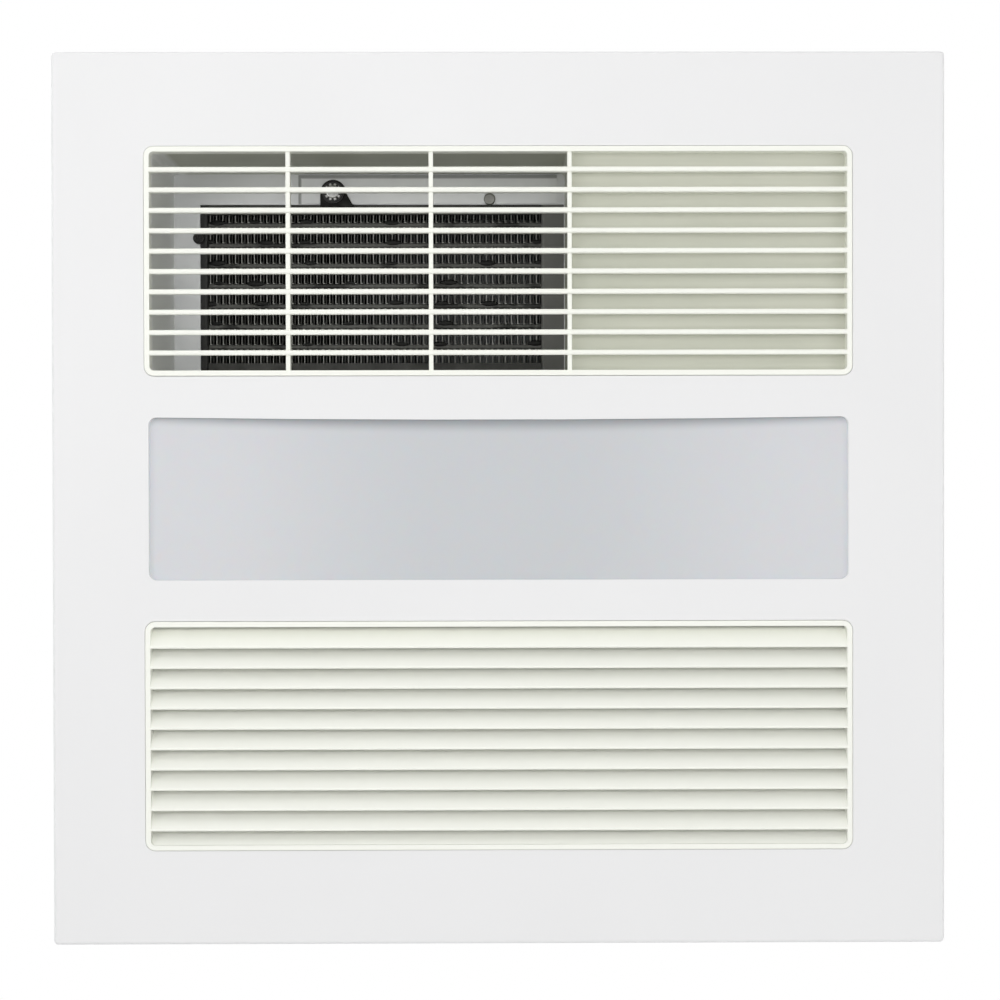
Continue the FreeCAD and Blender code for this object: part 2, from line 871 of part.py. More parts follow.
def end_panel(side):
    wall = box((-out_x, out_x), sorted((side * in_y, side * out_y)), (-sheet, roof_z))
    flange = box((-out_x, out_x), sorted((side * in_y, side * (out_y + flange_width))), (-sheet, 0.0))
    lap_y = sorted((side * out_y, side * (in_y - lap_width)))
    lap_z = (lap_end, roof_z - lap_end)
    laps = [box((out_x, out_x + sheet), lap_y, lap_z), box((-out_x - sheet, -out_x), lap_y, lap_z)]
    panel = joined([wall, flange] + laps)
    corner = out_x + sheet
    folds = [edge for edge in edges_along(panel, vec(0, 0, 1))
             if abs(abs(edge.Vertexes[0].X) - corner) < tolerance
             and abs(edge.Vertexes[0].Y - side * out_y) < tolerance]
    return panel.makeFillet(housing_round, folds)


def housing_end_panels():
    duct_end = end_panel(-1).cut(spigot_rod(spigot_radius + window_gap, (over - in_y, -out_y - over)))
    for at, direction in wall_screws():
        duct_end = duct_end.cut(screw_hole(at, direction, sheet))
    for at, direction in spigot_screws():
        duct_end = duct_end.cut(screw_hole(at, direction, -spigot_face_y - in_y))
    plain_end = joined([end_panel(1)] + housing_beads("back"))
    return group([duct_end, plain_end])


def partition_wall():
    z = (wall_foot, roof_z)
    wall = box(partition_x, (-in_y, cross_y[0]), z)
    tab = box((partition_x[1], partition_x[1] + wall_tab), (-in_y, -in_y + sheet), tab_heights())
    wall = wall.fuse(tab)
    for at, direction in wall_screws():
        wall = wall.cut(screw_hole(at, direction, 2 * sheet))
    shaft = rod(flap_shaft_radius + hole_play, vec(partition_x[0] - over, hinge_y, hinge_z),
                vec(partition_x[1] + over, hinge_y, hinge_z))
    wall = wall.cut(shaft)
    for blade in terminal_blades(blade_term_play):
        wall = wall.cut(blade)
    for at in damper_screw_places():
        wall = wall.cut(small_hole(at, vec(-1, 0, 0), damper_ear_thick + sheet))
    return wall.removeSplitter()


def cross_wall():
    wall = box((-in_x, in_x), cross_y, (wall_foot, roof_z))
    for side in (-1, 1):
        tab_x = sorted((side * in_x, side * (in_x - sheet)))
        wall = wall.fuse(box(tab_x, (cross_y[1], cross_y[1] + wall_tab), tab_heights()))
    mouth = box(mouth_x, (cross_y[0] - over, cross_y[1] + over), (floor_z + scroll_sheet, cover_z))
    wall = wall.cut(mouth)
    for at, direction in wall_screws():
        wall = wall.cut(screw_hole(at, direction, 2 * sheet))
    for at in cover_screw_places():
        wall = wall.cut(small_hole(at, vec(0, -1, 0), sheet))
    return wall.cut(earth_hole()).removeSplitter()


# Warm-air collar, mount plate and what is screwed to it

def outlet_collar():
    middle = ((collar_x[0] + collar_x[1]) / 2, (collar_y[0] + collar_y[1]) / 2)
    width = collar_x[1] - collar_x[0]
    height = collar_y[1] - collar_y[0]
    z = (frame_back_z + collar_clear, plate_z[0])
    outer = slab(width + 2 * collar_wall, height + 2 * collar_wall,
                 collar_corner + collar_wall, z, middle[1])
    inner = slab(width, height, collar_corner, (z[0] - over, z[1] + over), middle[1])
    duct = outer.cut(inner)
    duct.translate(vec(middle[0], 0, 0))
    return duct.cut(blank_room(blank_gap))


def heater_mount_plate():
    plate = box((-in_x, partition_x[0]), (-in_y, cross_y[0]), plate_z)
    cut_z = (plate_z[0] - over, plate_z[1] + over)
    plate = plate.cut(box(window_x, window_y, cut_z))
    plate = plate.cut(upright(cutout_radius + hole_play, cutout_at, cut_z))
    for at in (strip_screw_at, cap_screw_at):
        plate = plate.cut(upright(small_shank_radius + hole_play, at, cut_z))
    return plate


def heater_clamp_strip():
    x = (core_x[0] + strip_left, heater_x[1] - strip_right)
    y = (collar_y[0] + strip_edge, heater_y[0])
    cut_z = (strip_z[0] - over, strip_z[1] + over)
    strip = box(x, y, strip_z)
    strip = strip.cut(upright(cutout_radius + hole_play, cutout_at, cut_z))
    return strip.cut(upright(small_shank_radius + hole_play, strip_screw_at, cut_z))


def cutout_bracket():
    x, y = cutout_at
    foot = window_y[0] + window_lap
    outline = [vec(x - bracket_half, y, bracket_z[0]), vec(x + bracket_half, y, bracket_z[0]),
               vec(x + bracket_spread, foot + bracket_thick, bracket_z[0]),
               vec(x - bracket_half, foot + bracket_thick, bracket_z[0])]
    tab = prism(outline, vec(0, 0, bracket_thick))
    ring = upright(bracket_half, cutout_at, bracket_z)
    leg = box((x - bracket_half, x + bracket_spread), (foot, foot + bracket_thick),
              (bracket_z[0], heater_z[0]))
    hole = upright(cutout_radius + hole_play, cutout_at, (bracket_z[0] - over, bracket_z[1] + over))
    return joined([tab, ring, leg]).cut(hole)


def thermal_cutout():
    face = bracket_z[0]
    flange = upright(cutout_flange_radius, cutout_at, (face - cutout_flange, face))
    body = upright(cutout_radius, cutout_at, (face - cutout_front, plate_z[1] + cutout_back))
    return flange.fuse(body).removeSplitter()


def cutout_cap():
    base = bracket_z[0] - cutout_front
    cap = upright(cap_radius, cutout_at, (base - cap_height, base))
    pieces = [cap.makeFillet(cap_edge, edges_at(cap, base - cap_height))]
    for i in range(tooth_count):
        tooth = box((cap_radius - weld, cap_radius + tooth_reach), (-tooth_width / 2, tooth_width / 2),
                    (base - tooth_thick, base))
        tooth.rotate(vec(0, 0, 0), vec(0, 0, 1), 360 * i / tooth_count)
        tooth.translate(vec(cutout_at[0], cutout_at[1], 0))
        pieces.append(tooth)
    return joined(pieces)


# PTC heater

def tube_y(i):
    low = row_y[0] + fin_height + i * row_pitch
    return (low, low + tube_thick)


def element_tube(i):
    tube = box((core_x[0] - tube_end, core_x[1] + tube_end), tube_y(i), fin_z)
    return tube.makeFillet(tube_round, edges_along(tube, vec(1, 0, 0)))


def heater_tubes():
    return group([element_tube(i) for i in range(tube_count)])


def fin_row(i):
    low = row_y[0] + i * row_pitch
    high = low + fin_height
    length = core_x[1] - core_x[0]
    legs = 2 * int(length / fin_pitch)
    step = length / legs
    half = fin_thick / 2
    outer, inner = [(core_x[0], low + fin_thick)], [(core_x[0], low)]
    for j in range(legs):
        x = core_x[0] + (j + 0.5) * step
        if j % 2 == 0:
            outer += [(x - half, low + fin_thick), (x - half, high)]
            inner += [(x + half, low), (x + half, high - fin_thick)]
        else:
            outer += [(x + half, high), (x + half, low + fin_thick)]
            inner += [(x - half, high - fin_thick), (x - half, low)]
    outer.append((core_x[1], low + fin_thick))
    inner.append((core_x[1], low))
    strip = [vec(x, y, fin_z[0]) for x, y in outer + inner[::-1]]
    return prism(strip, vec(0, 0, fin_depth))


def heater_fins():
    return group([fin_row(i) for i in range(fin_rows)])


def heater_rails():
    inside_z = (heater_z[0] + rail_sheet, heater_z[1] - rail_sheet)
    low = box(core_x, (heater_y[0], heater_y[0] + rail_lip), heater_z)
    low = low.cut(box(core_x, (row_y[0], heater_y[0] + rail_lip + over), inside_z))
    high = box(core_x, (row_y[1] - rail_hook, heater_y[1]), heater_z)
    high = high.cut(box(core_x, (row_y[1] - rail_hook - over, row_y[1]), inside_z))
    high = high.cut(box(core_x, (row_y[1] + rail_web, heater_y[1] - rail_web), inside_z))
    return group([low, high])


def terminal_blades(play):
    x = (heater_x[1] - blade_term_root, partition_x[1] + blade_term_reach)
    middle_z = (heater_z[0] + heater_z[1]) / 2
    blades = []
    for i in range(blade_term_count):
        y = (heater_y[0] + heater_y[1]) / 2 + (i - (blade_term_count - 1) / 2) * blade_term_pitch
        half_y = blade_term_width / 2 + play
        half_z = blade_term_thick / 2 + play
        blades.append(box(x, (y - half_y, y + half_y), (middle_z - half_z, middle_z + half_z)))
    return blades


def heater_terminals():
    return group(terminal_blades(0.0))


def end_cap(x):
    cap = box(x, heater_y, heater_z)
    cap = cap.makeFillet(cap_round, edges_along(cap, vec(0, 1, 0)))
    for i in range(tube_count):
        cap = cap.cut(element_tube(i))
    return cap


def heater_end_caps():
    shank_z = (plate_z[0], plate_z[0] + small_shank_length + hole_play)
    pilot = upright(small_shank_radius + press_ease, cap_screw_at, shank_z)
    left = end_cap((heater_x[0], core_x[0])).cut(pilot)
    right = end_cap((core_x[1], heater_x[1]))
    for blade in terminal_blades(0.0):
        right = right.cut(blade)
    return group([left, right])


# Blower casing

def scroll_outline(grow, z):
    radius = scroll_radius + grow
    right = axis_x + grow
    start = axis_y - math.sqrt(radius ** 2 - grow ** 2)
    step = spiral_step
    diagonal = math.sqrt(0.5)
    half_turn = math.atan2(start - axis_y, grow) / 2
    tongue = vec(right, start, z)
    east = vec(axis_x + radius, axis_y, z)
    north = vec(axis_x - step, axis_y + radius + step, z)
    west = vec(axis_x - radius - 3 * step, axis_y - step, z)
    first = vec(axis_x + radius * math.cos(half_turn), axis_y + radius * math.sin(half_turn), z)
    second = vec(axis_x - step + (radius + step) * diagonal, axis_y + (radius + step) * diagonal, z)
    third = vec(axis_x - step - (radius + 2 * step) * diagonal,
                axis_y - step + (radius + 2 * step) * diagonal, z)
    mouth_right = vec(right, mouth_y, z)
    mouth_left = vec(west.x, mouth_y, z)
    outline = Part.Wire([
        line(mouth_right, tongue), arc(tongue, first, east), arc(east, second, north),
        arc(north, third, west), line(west, mouth_left), line(mouth_left, mouth_right)])
    return Part.Face(outline)


def scroll_casing():
    height = cover_z - floor_z
    block = scroll_outline(scroll_sheet, floor_z).extrude(vec(0, 0, height))
    room = scroll_outline(0.0, floor_z + scroll_sheet).extrude(vec(0, 0, height))
    eye = inlet_radius + inlet_wall + inlet_round
    inlet = upright(eye, (axis_x, axis_y), (floor_z - over, floor_z + scroll_sheet + over))
    return block.cut(room).cut(inlet)


def motor_screw_places():
    turns = [2 * math.pi * i / motor_screw_count for i in range(motor_screw_count)]
    return [(axis_x + motor_screw_ring * math.cos(turn), axis_y + motor_screw_ring * math.sin(turn))
            for turn in turns]


def scroll_cover():
    cover = scroll_outline(scroll_sheet, cover_z).extrude(vec(0, 0, scroll_sheet))
    for at in motor_screw_places():
        cover = cover.cut(upright(motor_screw_radius + hole_play, at, (cover_z - over, scroll_top_z + over)))
    return cover


def scroll_standoffs():
    posts = []
    for x, y in standoff_places():
        post = hexagon(standoff_width, vec(x, y, scroll_top_z), vec(x, y, roof_z))
        posts.append(post.cut(upright(case_shank_radius + press_ease, (x, y), (roof_z - case_bite, roof_z))))
    return group(posts)


def inlet_ring():
    at = vec(axis_x, axis_y, 0)
    top = wheel_base_z - inlet_clear
    bend = inlet_round * (1 - math.sqrt(0.5))
    flare = inlet_round + inlet_wall
    deep = flare * (1 - math.sqrt(0.5))
    inner, outer = inlet_radius, inlet_radius + inlet_wall
    rise = floor_z + inlet_round
    under = floor_z - inlet_wall
    rim = inlet_radius + flare + inlet_flange
    points = {name: vec(r, 0, z) for name, r, z in (
        ("inner_top", inner, top), ("outer_top", outer, top), ("outer_bend", outer, rise),
        ("outer_mid", outer + bend, floor_z + bend), ("outer_foot", outer + inlet_round, floor_z),
        ("rim_top", rim, floor_z), ("rim_foot", rim, under), ("inner_foot", inner + flare, under),
        ("inner_mid", inner + deep, under + deep), ("inner_bend", inner, rise))}
    outline = Part.Wire([
        line(points["inner_top"], points["outer_top"]), line(points["outer_top"], points["outer_bend"]),
        arc(points["outer_bend"], points["outer_mid"], points["outer_foot"]),
        line(points["outer_foot"], points["rim_top"]), line(points["rim_top"], points["rim_foot"]),
        line(points["rim_foot"], points["inner_foot"]),
        arc(points["inner_foot"], points["inner_mid"], points["inner_bend"]),
        line(points["inner_bend"], points["inner_top"])])
    ring = Part.Face(outline).revolve(vec(0, 0, 0), vec(0, 0, 1), 360)
    ring.translate(at)
    return ring


# Blower wheel, shaft and motor

def polar(radius, degrees):
    turn = math.radians(degrees)
    return vec(radius * math.cos(turn), radius * math.sin(turn), wheel_base_z + wheel_ring)


def wheel_blade():
    middle = wheel_radius - wheel_band / 2
    half = math.degrees(wheel_blade_thick / 2 / middle)
    bend = wheel_blade_sweep / 2 - wheel_blade_bend

    def side(turn):
        return [polar(wheel_inner, turn), polar(middle, bend + turn),
                polar(wheel_radius, wheel_blade_sweep + turn)]

    near, far = side(-half), side(half)
    outline = Part.Wire([arc(*near), line(near[2], far[2]), arc(far[2], far[1], far[0]),
                         line(far[0], near[0])])
    return Part.Face(outline).extrude(vec(0, 0, wheel_height - wheel_ring - wheel_plate))


def wheel_blades():
    blades = []
    for i in range(wheel_blade_count):
        blade = wheel_blade()
        blade.rotate(vec(0, 0, 0), vec(0, 0, 1), 360 * i / wheel_blade_count)
        blade.translate(vec(axis_x, axis_y, 0))
        blades.append(blade)
    return group(blades)


def wheel_end_ring():
    top = wheel_base_z + wheel_ring
    return turned([(wheel_inner, wheel_base_z), (wheel_radius, wheel_base_z), (wheel_radius, top),
                   (wheel_inner, top)], (axis_x, axis_y))


def wheel_back_plate():
    bore = shaft_radius + press_ease
    plate_z0 = wheel_top_z - wheel_plate
    cup_out = cup_radius + cup_wall
    hub = [(wheel_radius, wheel_top_z), (cup_radius, wheel_top_z), (cup_radius, cup_floor_z),
           (bore, cup_floor_z), (bore, hub_base_z), (hub_radius, hub_base_z),
           (hub_radius, cup_floor_z - cup_floor), (cup_out, cup_floor_z - cup_floor),
           (cup_out, plate_z0), (wheel_radius, plate_z0)]
    return turned(hub, (axis_x, axis_y))


def motor_shaft():
    return upright(shaft_radius, (axis_x, axis_y), shaft_z)


def wheel_nut():
    nut = hexagon(wheel_nut_width, vec(axis_x, axis_y, hub_base_z - wheel_nut_height),
                  vec(axis_x, axis_y, hub_base_z))
    return nut.cut(upright(shaft_radius + press_ease, (axis_x, axis_y), shaft_z))


def core_z():
    return (core_mid_z - core_length / 2, core_mid_z + core_length / 2)


def motor_rotor():
    z0, z1 = core_z()
    bore = shaft_radius + press_ease
    return turned([(bore, z0), (rotor_radius, z0), (rotor_radius, z1), (bore, z1)], (axis_x, axis_y))


def motor_stator():
    z0, z1 = core_z()
    bore = rotor_radius + rotor_gap
    rim = motor_radius - motor_wall - press_ease
    return turned([(bore, z0), (rim, z0), (rim, z1), (bore, z1)], (axis_x, axis_y))


def motor_windings():
    z0, z1 = core_z()
    low = rotor_radius + rotor_gap + winding_inset
    high = motor_radius - motor_wall - winding_inset
    rings = []
    for base, top in ((z0 - winding_height, z0), (z1, z1 + winding_height)):
        ring = turned([(low, base), (high, base), (high, top), (low, top)], (axis_x, axis_y))
        free = base if base < z0 else top
        rings.append(ring.makeFillet(winding_inset, edges_at(ring, free)))
    return group(rings)


def motor_can():
    z0 = motor_z[0]
    inner = motor_radius - motor_wall
    seat = bearing_radius + press_ease
    can = turned([(seat, z0), (motor_radius, z0), (motor_radius, bell_z), (inner, bell_z),
                  (inner, z0 + motor_wall), (seat, z0 + motor_wall)], (axis_x, axis_y))
    rim = [edge for edge in edges_at(can, z0) if abs(edge.Curve.Radius - motor_radius) < tolerance]
    return can.makeFillet(motor_wall, rim)


def motor_end_bell():
    seat = bearing_radius + press_ease
    bell = turned([(seat, bell_z), (motor_radius, bell_z), (motor_radius, cover_z), (seat, cover_z)],
                  (axis_x, axis_y))
    for at in motor_screw_places():
        bell = bell.cut(upright(motor_screw_radius + press_ease, at, (bell_z - over, cover_z + over)))
    return bell


def motor_bearings():
    bore = shaft_radius + bearing_play
    bushes = []
    for z0 in (motor_z[0], cover_z - bearing_length):
        z1 = z0 + bearing_length
        bush = [(bore, z0), (bearing_radius, z0), (bearing_radius, z1), (bore, z1)]
        bushes.append(turned(bush, (axis_x, axis_y)))
    return group(bushes)


def motor_screws():
    down = vec(0, 0, -1)
    depth = scroll_sheet + bell_thick
    return [pan_screw(vec(x, y, scroll_top_z), down, motor_screw_head, motor_screw_head_height,
                      motor_screw_radius, depth) for x, y in motor_screw_places()]


# Duct spigot, gasket and backdraught flaps

def spigot_plate(y):
    half_x = spigot_radius + spigot_flange_side
    half_z = spigot_radius + spigot_flange_rise
    plate = box((spigot_x - half_x, spigot_x + half_x), y, (spigot_z - half_z, spigot_z + half_z))
    return plate.makeFillet(spigot_flange_corner, edges_along(plate, vec(0, 1, 0)))


def spigot_rod(radius, y):
    return rod(radius, vec(spigot_x, y[0], spigot_z), vec(spigot_x, y[1], spigot_z))


def damper_pin_rod(radius):
    half = spigot_radius - pin_end_inset
    return rod(radius, vec(spigot_x, pin_y, spigot_z - half), vec(spigot_x, pin_y, spigot_z + half))


def duct_spigot():
    bore = spigot_radius - spigot_wall
    flange = spigot_plate((spigot_face_y, gasket_y))
    tube = spigot_rod(spigot_radius, (spigot_end_y, seat_y))
    spigot = flange.fuse(tube).cut(spigot_rod(bore, (spigot_end_y - over, seat_y + over)))
    stop_y = pin_y + leaf_thick / 2 + stop_gap
    stop = spigot_rod(bore, (stop_y, stop_y + stop_thick))
    stop = stop.cut(spigot_rod(bore - stop_width, (stop_y - over, stop_y + stop_thick + over)))
    spigot = spigot.fuse(stop).cut(damper_pin_rod(pin_radius + press_ease))
    for at, direction in spigot_screws():
        spigot = spigot.cut(screw_hole(at, direction, spigot_flange_thick))
    return spigot.removeSplitter()


def spigot_gasket():
    bore = spigot_rod(spigot_radius + press_ease, (gasket_y - over, over - out_y))
    gasket = spigot_plate((gasket_y, -out_y)).cut(bore)
    for at, direction in spigot_screws():
        gasket = gasket.cut(screw_hole(at, direction, spigot_flange_thick + gasket_thick))
    return gasket


def damper_pin():
    return damper_pin_rod(pin_radius)


def knuckle_levels(side):
    step = knuckle_length + knuckle_gap
    first = -2 if side < 0 else -1
    return [(spigot_z + i * step + knuckle_gap / 2, spigot_z + (i + 1) * step - knuckle_gap / 2)
            for i in (first, first + 2)]


def backdraft_flap(side):
    radius = spigot_radius - spigot_wall - leaf_play
    leaf_y = (pin_y - leaf_thick / 2, pin_y + leaf_thick / 2)
    leaf_z = (spigot_z - radius, spigot_z + radius)
    leaf = spigot_rod(radius, leaf_y)
    half = sorted((spigot_x + side * leaf_root, spigot_x + side * 2 * radius))
    leaf = leaf.common(box(half, leaf_y, leaf_z))
    for low, high in knuckle_levels(side):
        web_x = sorted((spigot_x, spigot_x + side * (leaf_root + weld)))
        knuckle = upright(knuckle_radius, (spigot_x, pin_y), (low, high))
        leaf = leaf.fuse([knuckle, box(web_x, leaf_y, (low, high))])
    return leaf.cut(damper_pin_rod(pin_radius + pin_play)).removeSplitter()


def backdraft_flap_left():
    return backdraft_flap(-1)


def backdraft_flap_right():
    return backdraft_flap(1)


# Changeover flap and its drive

def hinge_rod(radius, x, y=0.0):
    return rod(radius, vec(x[0], hinge_y + y, hinge_z), vec(x[1], hinge_y + y, hinge_z))


def changeover_flap():
    half = flap_thick / 2
    leaf = box(flap_x, (hinge_y - half, hinge_y + half), (hinge_z, hinge_z + flap_length))
    hem_z = (hinge_z + flap_length - flap_seal, hinge_z + flap_length)
    hem = box(flap_x, (hinge_y - half, hinge_y + half + flap_thick), hem_z)
    flap = joined([leaf, hem, hinge_rod(flap_tube_radius, flap_x)])
    return flap.cut(hinge_rod(flap_shaft_radius + press_ease, flap_x))


def flap_shaft():
    return hinge_rod(flap_shaft_radius, (-in_x + flap_shaft_end, partition_x[1] + flap_shaft_drive))


def flap_bushes():
    bushes = []
    for x in ((-in_x, -in_x + bush_length), (partition_x[0] - bush_length, partition_x[0])):
        bushes.append(hinge_rod(bush_radius, x).cut(hinge_rod(flap_shaft_radius + bush_play, x)))
    return group(bushes)


def damper_screw_places():
    x = partition_x[1] + damper_ear_thick
    return [vec(x, hinge_y + damper_offset, hinge_z + side * damper_ear_reach) for side in (-1, 1)]


def damper_motor():
    x0 = partition_x[1]
    body = hinge_rod(damper_radius, (x0, x0 + damper_length), damper_offset)
    centre_y = hinge_y + damper_offset
    ear_half = damper_ear_width / 2
    ear_reach = damper_ear_reach + ear_half
    ears = box((x0, x0 + damper_ear_thick), (centre_y - ear_half, centre_y + ear_half),
               (hinge_z - ear_reach, hinge_z + ear_reach))
    lead_y = (centre_y + damper_radius - damper_lead_depth, centre_y + damper_radius + damper_lead_height)
    lead = box((x0 + damper_ear_thick, x0 + damper_length - damper_ear_thick), lead_y,
               (hinge_z - damper_lead_width / 2, hinge_z + damper_lead_width / 2))
    motor = joined([body, ears, lead])
    for at in damper_screw_places():
        motor = motor.cut(small_hole(at, vec(-1, 0, 0), damper_ear_thick))
    return motor.cut(hinge_rod(flap_shaft_radius + bush_play, (x0 - over, x0 + flap_shaft_drive + over)))


# Wiring compartment

def terminal_block():
    x = (partition_x[1], partition_x[1] + terminal_depth)
    half = terminal_ways * terminal_pitch / 2
    z = (terminal_z - terminal_height / 2, terminal_z + terminal_height / 2)
    block = box(x, (-bay_y - half, -bay_y + half), z)
    for i in range(terminal_ways - 1):
        y = -bay_y - half + (i + 1) * terminal_pitch
        groove_y = (y - terminal_slot / 2, y + terminal_slot / 2)
        groove_x = (x[1] - terminal_slot_depth, x[1] + over)
        block = block.cut(box(groove_x, groove_y, (z[0] - over, z[1] + over)))
    return block


def terminal_screws():
    x = partition_x[1] + terminal_depth
    half = terminal_ways * terminal_pitch / 2
    screws = []
    for i in range(terminal_ways):
        y = -bay_y - half + (i + 0.5) * terminal_pitch
        for z in (terminal_z - terminal_height / 4, terminal_z + terminal_height / 4):
            screws.append(rod(terminal_screw_radius, vec(x, y, z), vec(x + terminal_screw_height, y, z)))
    return screws


def gland_rod(radius, x):
    return rod(radius, vec(x[0], -bay_y, gland_z), vec(x[1], -bay_y, gland_z))


def cable_gland():
    shoulder = out_x + gland_hex_length
    thread = gland_rod(gland_thread_radius, (in_x - gland_tail, out_x))
    body = hexagon(gland_hex, vec(out_x, -bay_y, gland_z), vec(shoulder, -bay_y, gland_z))
    cap = gland_rod(gland_cap_radius, (shoulder, shoulder + gland_cap_length))
    cap = cap.makeFillet(gland_cap_round, [cap.Edges[0]])
    bore = gland_rod(gland_bore_radius, (in_x - gland_tail - over, shoulder + gland_cap_length + over))
    return joined([thread, body, cap]).cut(bore)


def gland_nut():
    nut = hexagon(gland_hex, vec(in_x - gland_nut_length, -bay_y, gland_z), vec(in_x, -bay_y, gland_z))
    bore_x = (in_x - gland_nut_length - over, in_x + over)
    return nut.cut(gland_rod(gland_thread_radius + press_ease, bore_x))


def cover_screw_places():
    x0 = partition_x[1] + cover_screw_inset
    x1 = in_x - cover_screw_inset
    z = wall_foot + cover_lip / 2
    return [vec(x, cross_y[1], z) for x in (x0, x1)]


def wiring_cover():
    x = (partition_x[1], in_x)
    y = (-in_y, cross_y[0])
    floor = box(x, y, (wall_foot, wall_foot + sheet))
    lip = box(x, (cross_y[0] - sheet, cross_y[0]), (wall_foot, wall_foot + cover_lip))
    cover = floor.fuse(lip)
    for at in cover_screw_places():
        cover = cover.cut(small_hole(at, vec(0, -1, 0), 2 * sheet))
    return cover.removeSplitter()


def earth_at():
    return vec(in_x - earth_inset, cross_y[0], earth_height)


def earth_hole():
    at = earth_at()
    return rod(earth_radius + press_ease, at.sub(vec(0, over, 0)), at.add(vec(0, sheet + over, 0)))


def earth_stud():
    at = earth_at()
    inward = vec(0, -1, 0)
    stud = rod(earth_radius, at.add(vec(0, sheet, 0)), at + inward * earth_length)
    washer = rod(earth_washer_radius, at, at + inward * earth_washer_thick)
    nut = hexagon(earth_nut_width, at + inward * earth_washer_thick,
                  at + inward * (earth_washer_thick + earth_nut_height))
    return joined([stud, washer, nut])


def driver_screw_places():
    return [vec(in_x - driver_ear_thick, driver_y + side * (driver_length + driver_ear) / 2, driver_z)
            for side in (-1, 1)]


def led_driver():
    x = (in_x - driver_depth, in_x)
    y = (driver_y - driver_length / 2, driver_y + driver_length / 2)
    z = (driver_z - driver_height / 2, driver_z + driver_height / 2)
    case = box(x, y, z)
    case = case.makeFillet(driver_corner, edges_along(case, vec(1, 0, 0)))
    ears = box((in_x - driver_ear_thick, in_x), (y[0] - driver_ear, y[1] + driver_ear),
               (driver_z - driver_ear, driver_z + driver_ear))
    driver = case.fuse(ears)
    for at in driver_screw_places():
        driver = driver.cut(small_hole(at, vec(1, 0, 0), driver_ear_thick))
    return driver.removeSplitter()


def run_capacitor():
    x = (in_x - capacitor_depth, in_x)
    y = (capacitor_y - capacitor_length / 2, capacitor_y + capacitor_length / 2)
    case = box(x, y, (capacitor_z - capacitor_height / 2, capacitor_z + capacitor_height / 2))
    return case.makeFillet(capacitor_corner, edges_along(case, vec(1, 0, 0)))


# Fasteners that the walls and boxes share

def small_screw(at, direction, depth):
    return pan_screw(at, direction, small_head_radius, small_head_height, small_shank_radius, depth)


def small_screws():
    up, inward, outward, along = vec(0, 0, 1), vec(-1, 0, 0), vec(1, 0, 0), vec(0, -1, 0)
    screws = [small_screw(vec(strip_screw_at[0], strip_screw_at[1], strip_z[0]), up, small_shank_length),
              small_screw(vec(cap_screw_at[0], cap_screw_at[1], plate_z[0]), up, small_shank_length)]
    screws += [small_screw(at, along, 2 * sheet) for at in cover_screw_places()]
    screws += [small_screw(at, inward, damper_ear_thick + sheet) for at in damper_screw_places()]
    screws += [small_screw(at, outward, driver_ear_thick + sheet) for at in driver_screw_places()]
    return group(screws + motor_screws() + terminal_screws())


def case_screws():
    screws = [case_screw(at, direction, 2 * sheet) for at, direction in wall_screws()]
    screws += [case_screw(at, direction, sheet) for at, direction in roof_screws()]
    screws += [case_screw(at, direction, spigot_flange_thick + gasket_thick + sheet)
               for at, direction in spigot_screws()]
    return group(screws)


pieces = (
    fascia_panel, fascia_studs, heater_outlet_grille, outlet_blank_plate, intake_louvre, light_diffuser,
    led_tray, led_board, led_connector, push_nuts,
    housing_roof, housing_side_panels, housing_end_panels, stud_sockets, partition_wall, cross_wall,
    case_screws, small_screws,
    outlet_collar, heater_mount_plate, heater_clamp_strip, cutout_bracket, thermal_cutout, cutout_cap,
    heater_tubes, heater_fins, heater_rails, heater_terminals, heater_end_caps,
    scroll_casing, scroll_cover, scroll_standoffs, inlet_ring,
    wheel_back_plate, wheel_blades, wheel_end_ring, motor_shaft, wheel_nut,
    motor_rotor, motor_stator, motor_windings, motor_can, motor_end_bell, motor_bearings,
    duct_spigot, spigot_gasket, damper_pin, backdraft_flap_left, backdraft_flap_right,
    changeover_flap, flap_shaft, flap_bushes, damper_motor,
    terminal_block, cable_gland, gland_nut, wiring_cover, earth_stud,
    led_driver, run_capacitor,
)

os.makedirs("parts", exist_ok=True)
for piece in pieces:
    shape = piece()
    shape.exportStep(os.path.join("parts", piece.__name__ + ".step"))
    print(piece.__name__, len(shape.Solids), round(shape.Volume), shape.isValid())
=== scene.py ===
# %% [markdown]
# A bathroom ceiling heater, dressed for its portrait.
# The unit hangs in a ceiling, so its face looks down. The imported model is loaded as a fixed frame, and
# nothing in it is moved. This lesson gives every piece its finish and adds the small things that a
# factory leaves on it: spot welds, dabs of sealant and the grip of the cable gland.

# %% Load the frame
import math

import bpy
from mathutils import Matrix, Vector


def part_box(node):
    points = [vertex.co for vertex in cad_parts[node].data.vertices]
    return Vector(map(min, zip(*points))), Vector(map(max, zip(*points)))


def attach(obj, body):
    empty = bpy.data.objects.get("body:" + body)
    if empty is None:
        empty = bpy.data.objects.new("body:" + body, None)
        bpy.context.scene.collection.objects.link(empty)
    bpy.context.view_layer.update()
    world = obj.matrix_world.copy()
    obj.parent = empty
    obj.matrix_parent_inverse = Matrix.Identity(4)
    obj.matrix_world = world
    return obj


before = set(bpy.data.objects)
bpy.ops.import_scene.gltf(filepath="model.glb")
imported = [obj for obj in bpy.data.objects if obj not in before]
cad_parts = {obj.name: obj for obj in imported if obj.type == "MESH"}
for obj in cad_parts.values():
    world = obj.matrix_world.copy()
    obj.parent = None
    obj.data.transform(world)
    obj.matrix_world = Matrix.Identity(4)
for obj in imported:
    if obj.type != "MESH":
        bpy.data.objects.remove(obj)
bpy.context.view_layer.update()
scene = bpy.context.scene
scene.view_settings.view_transform = "Standard"

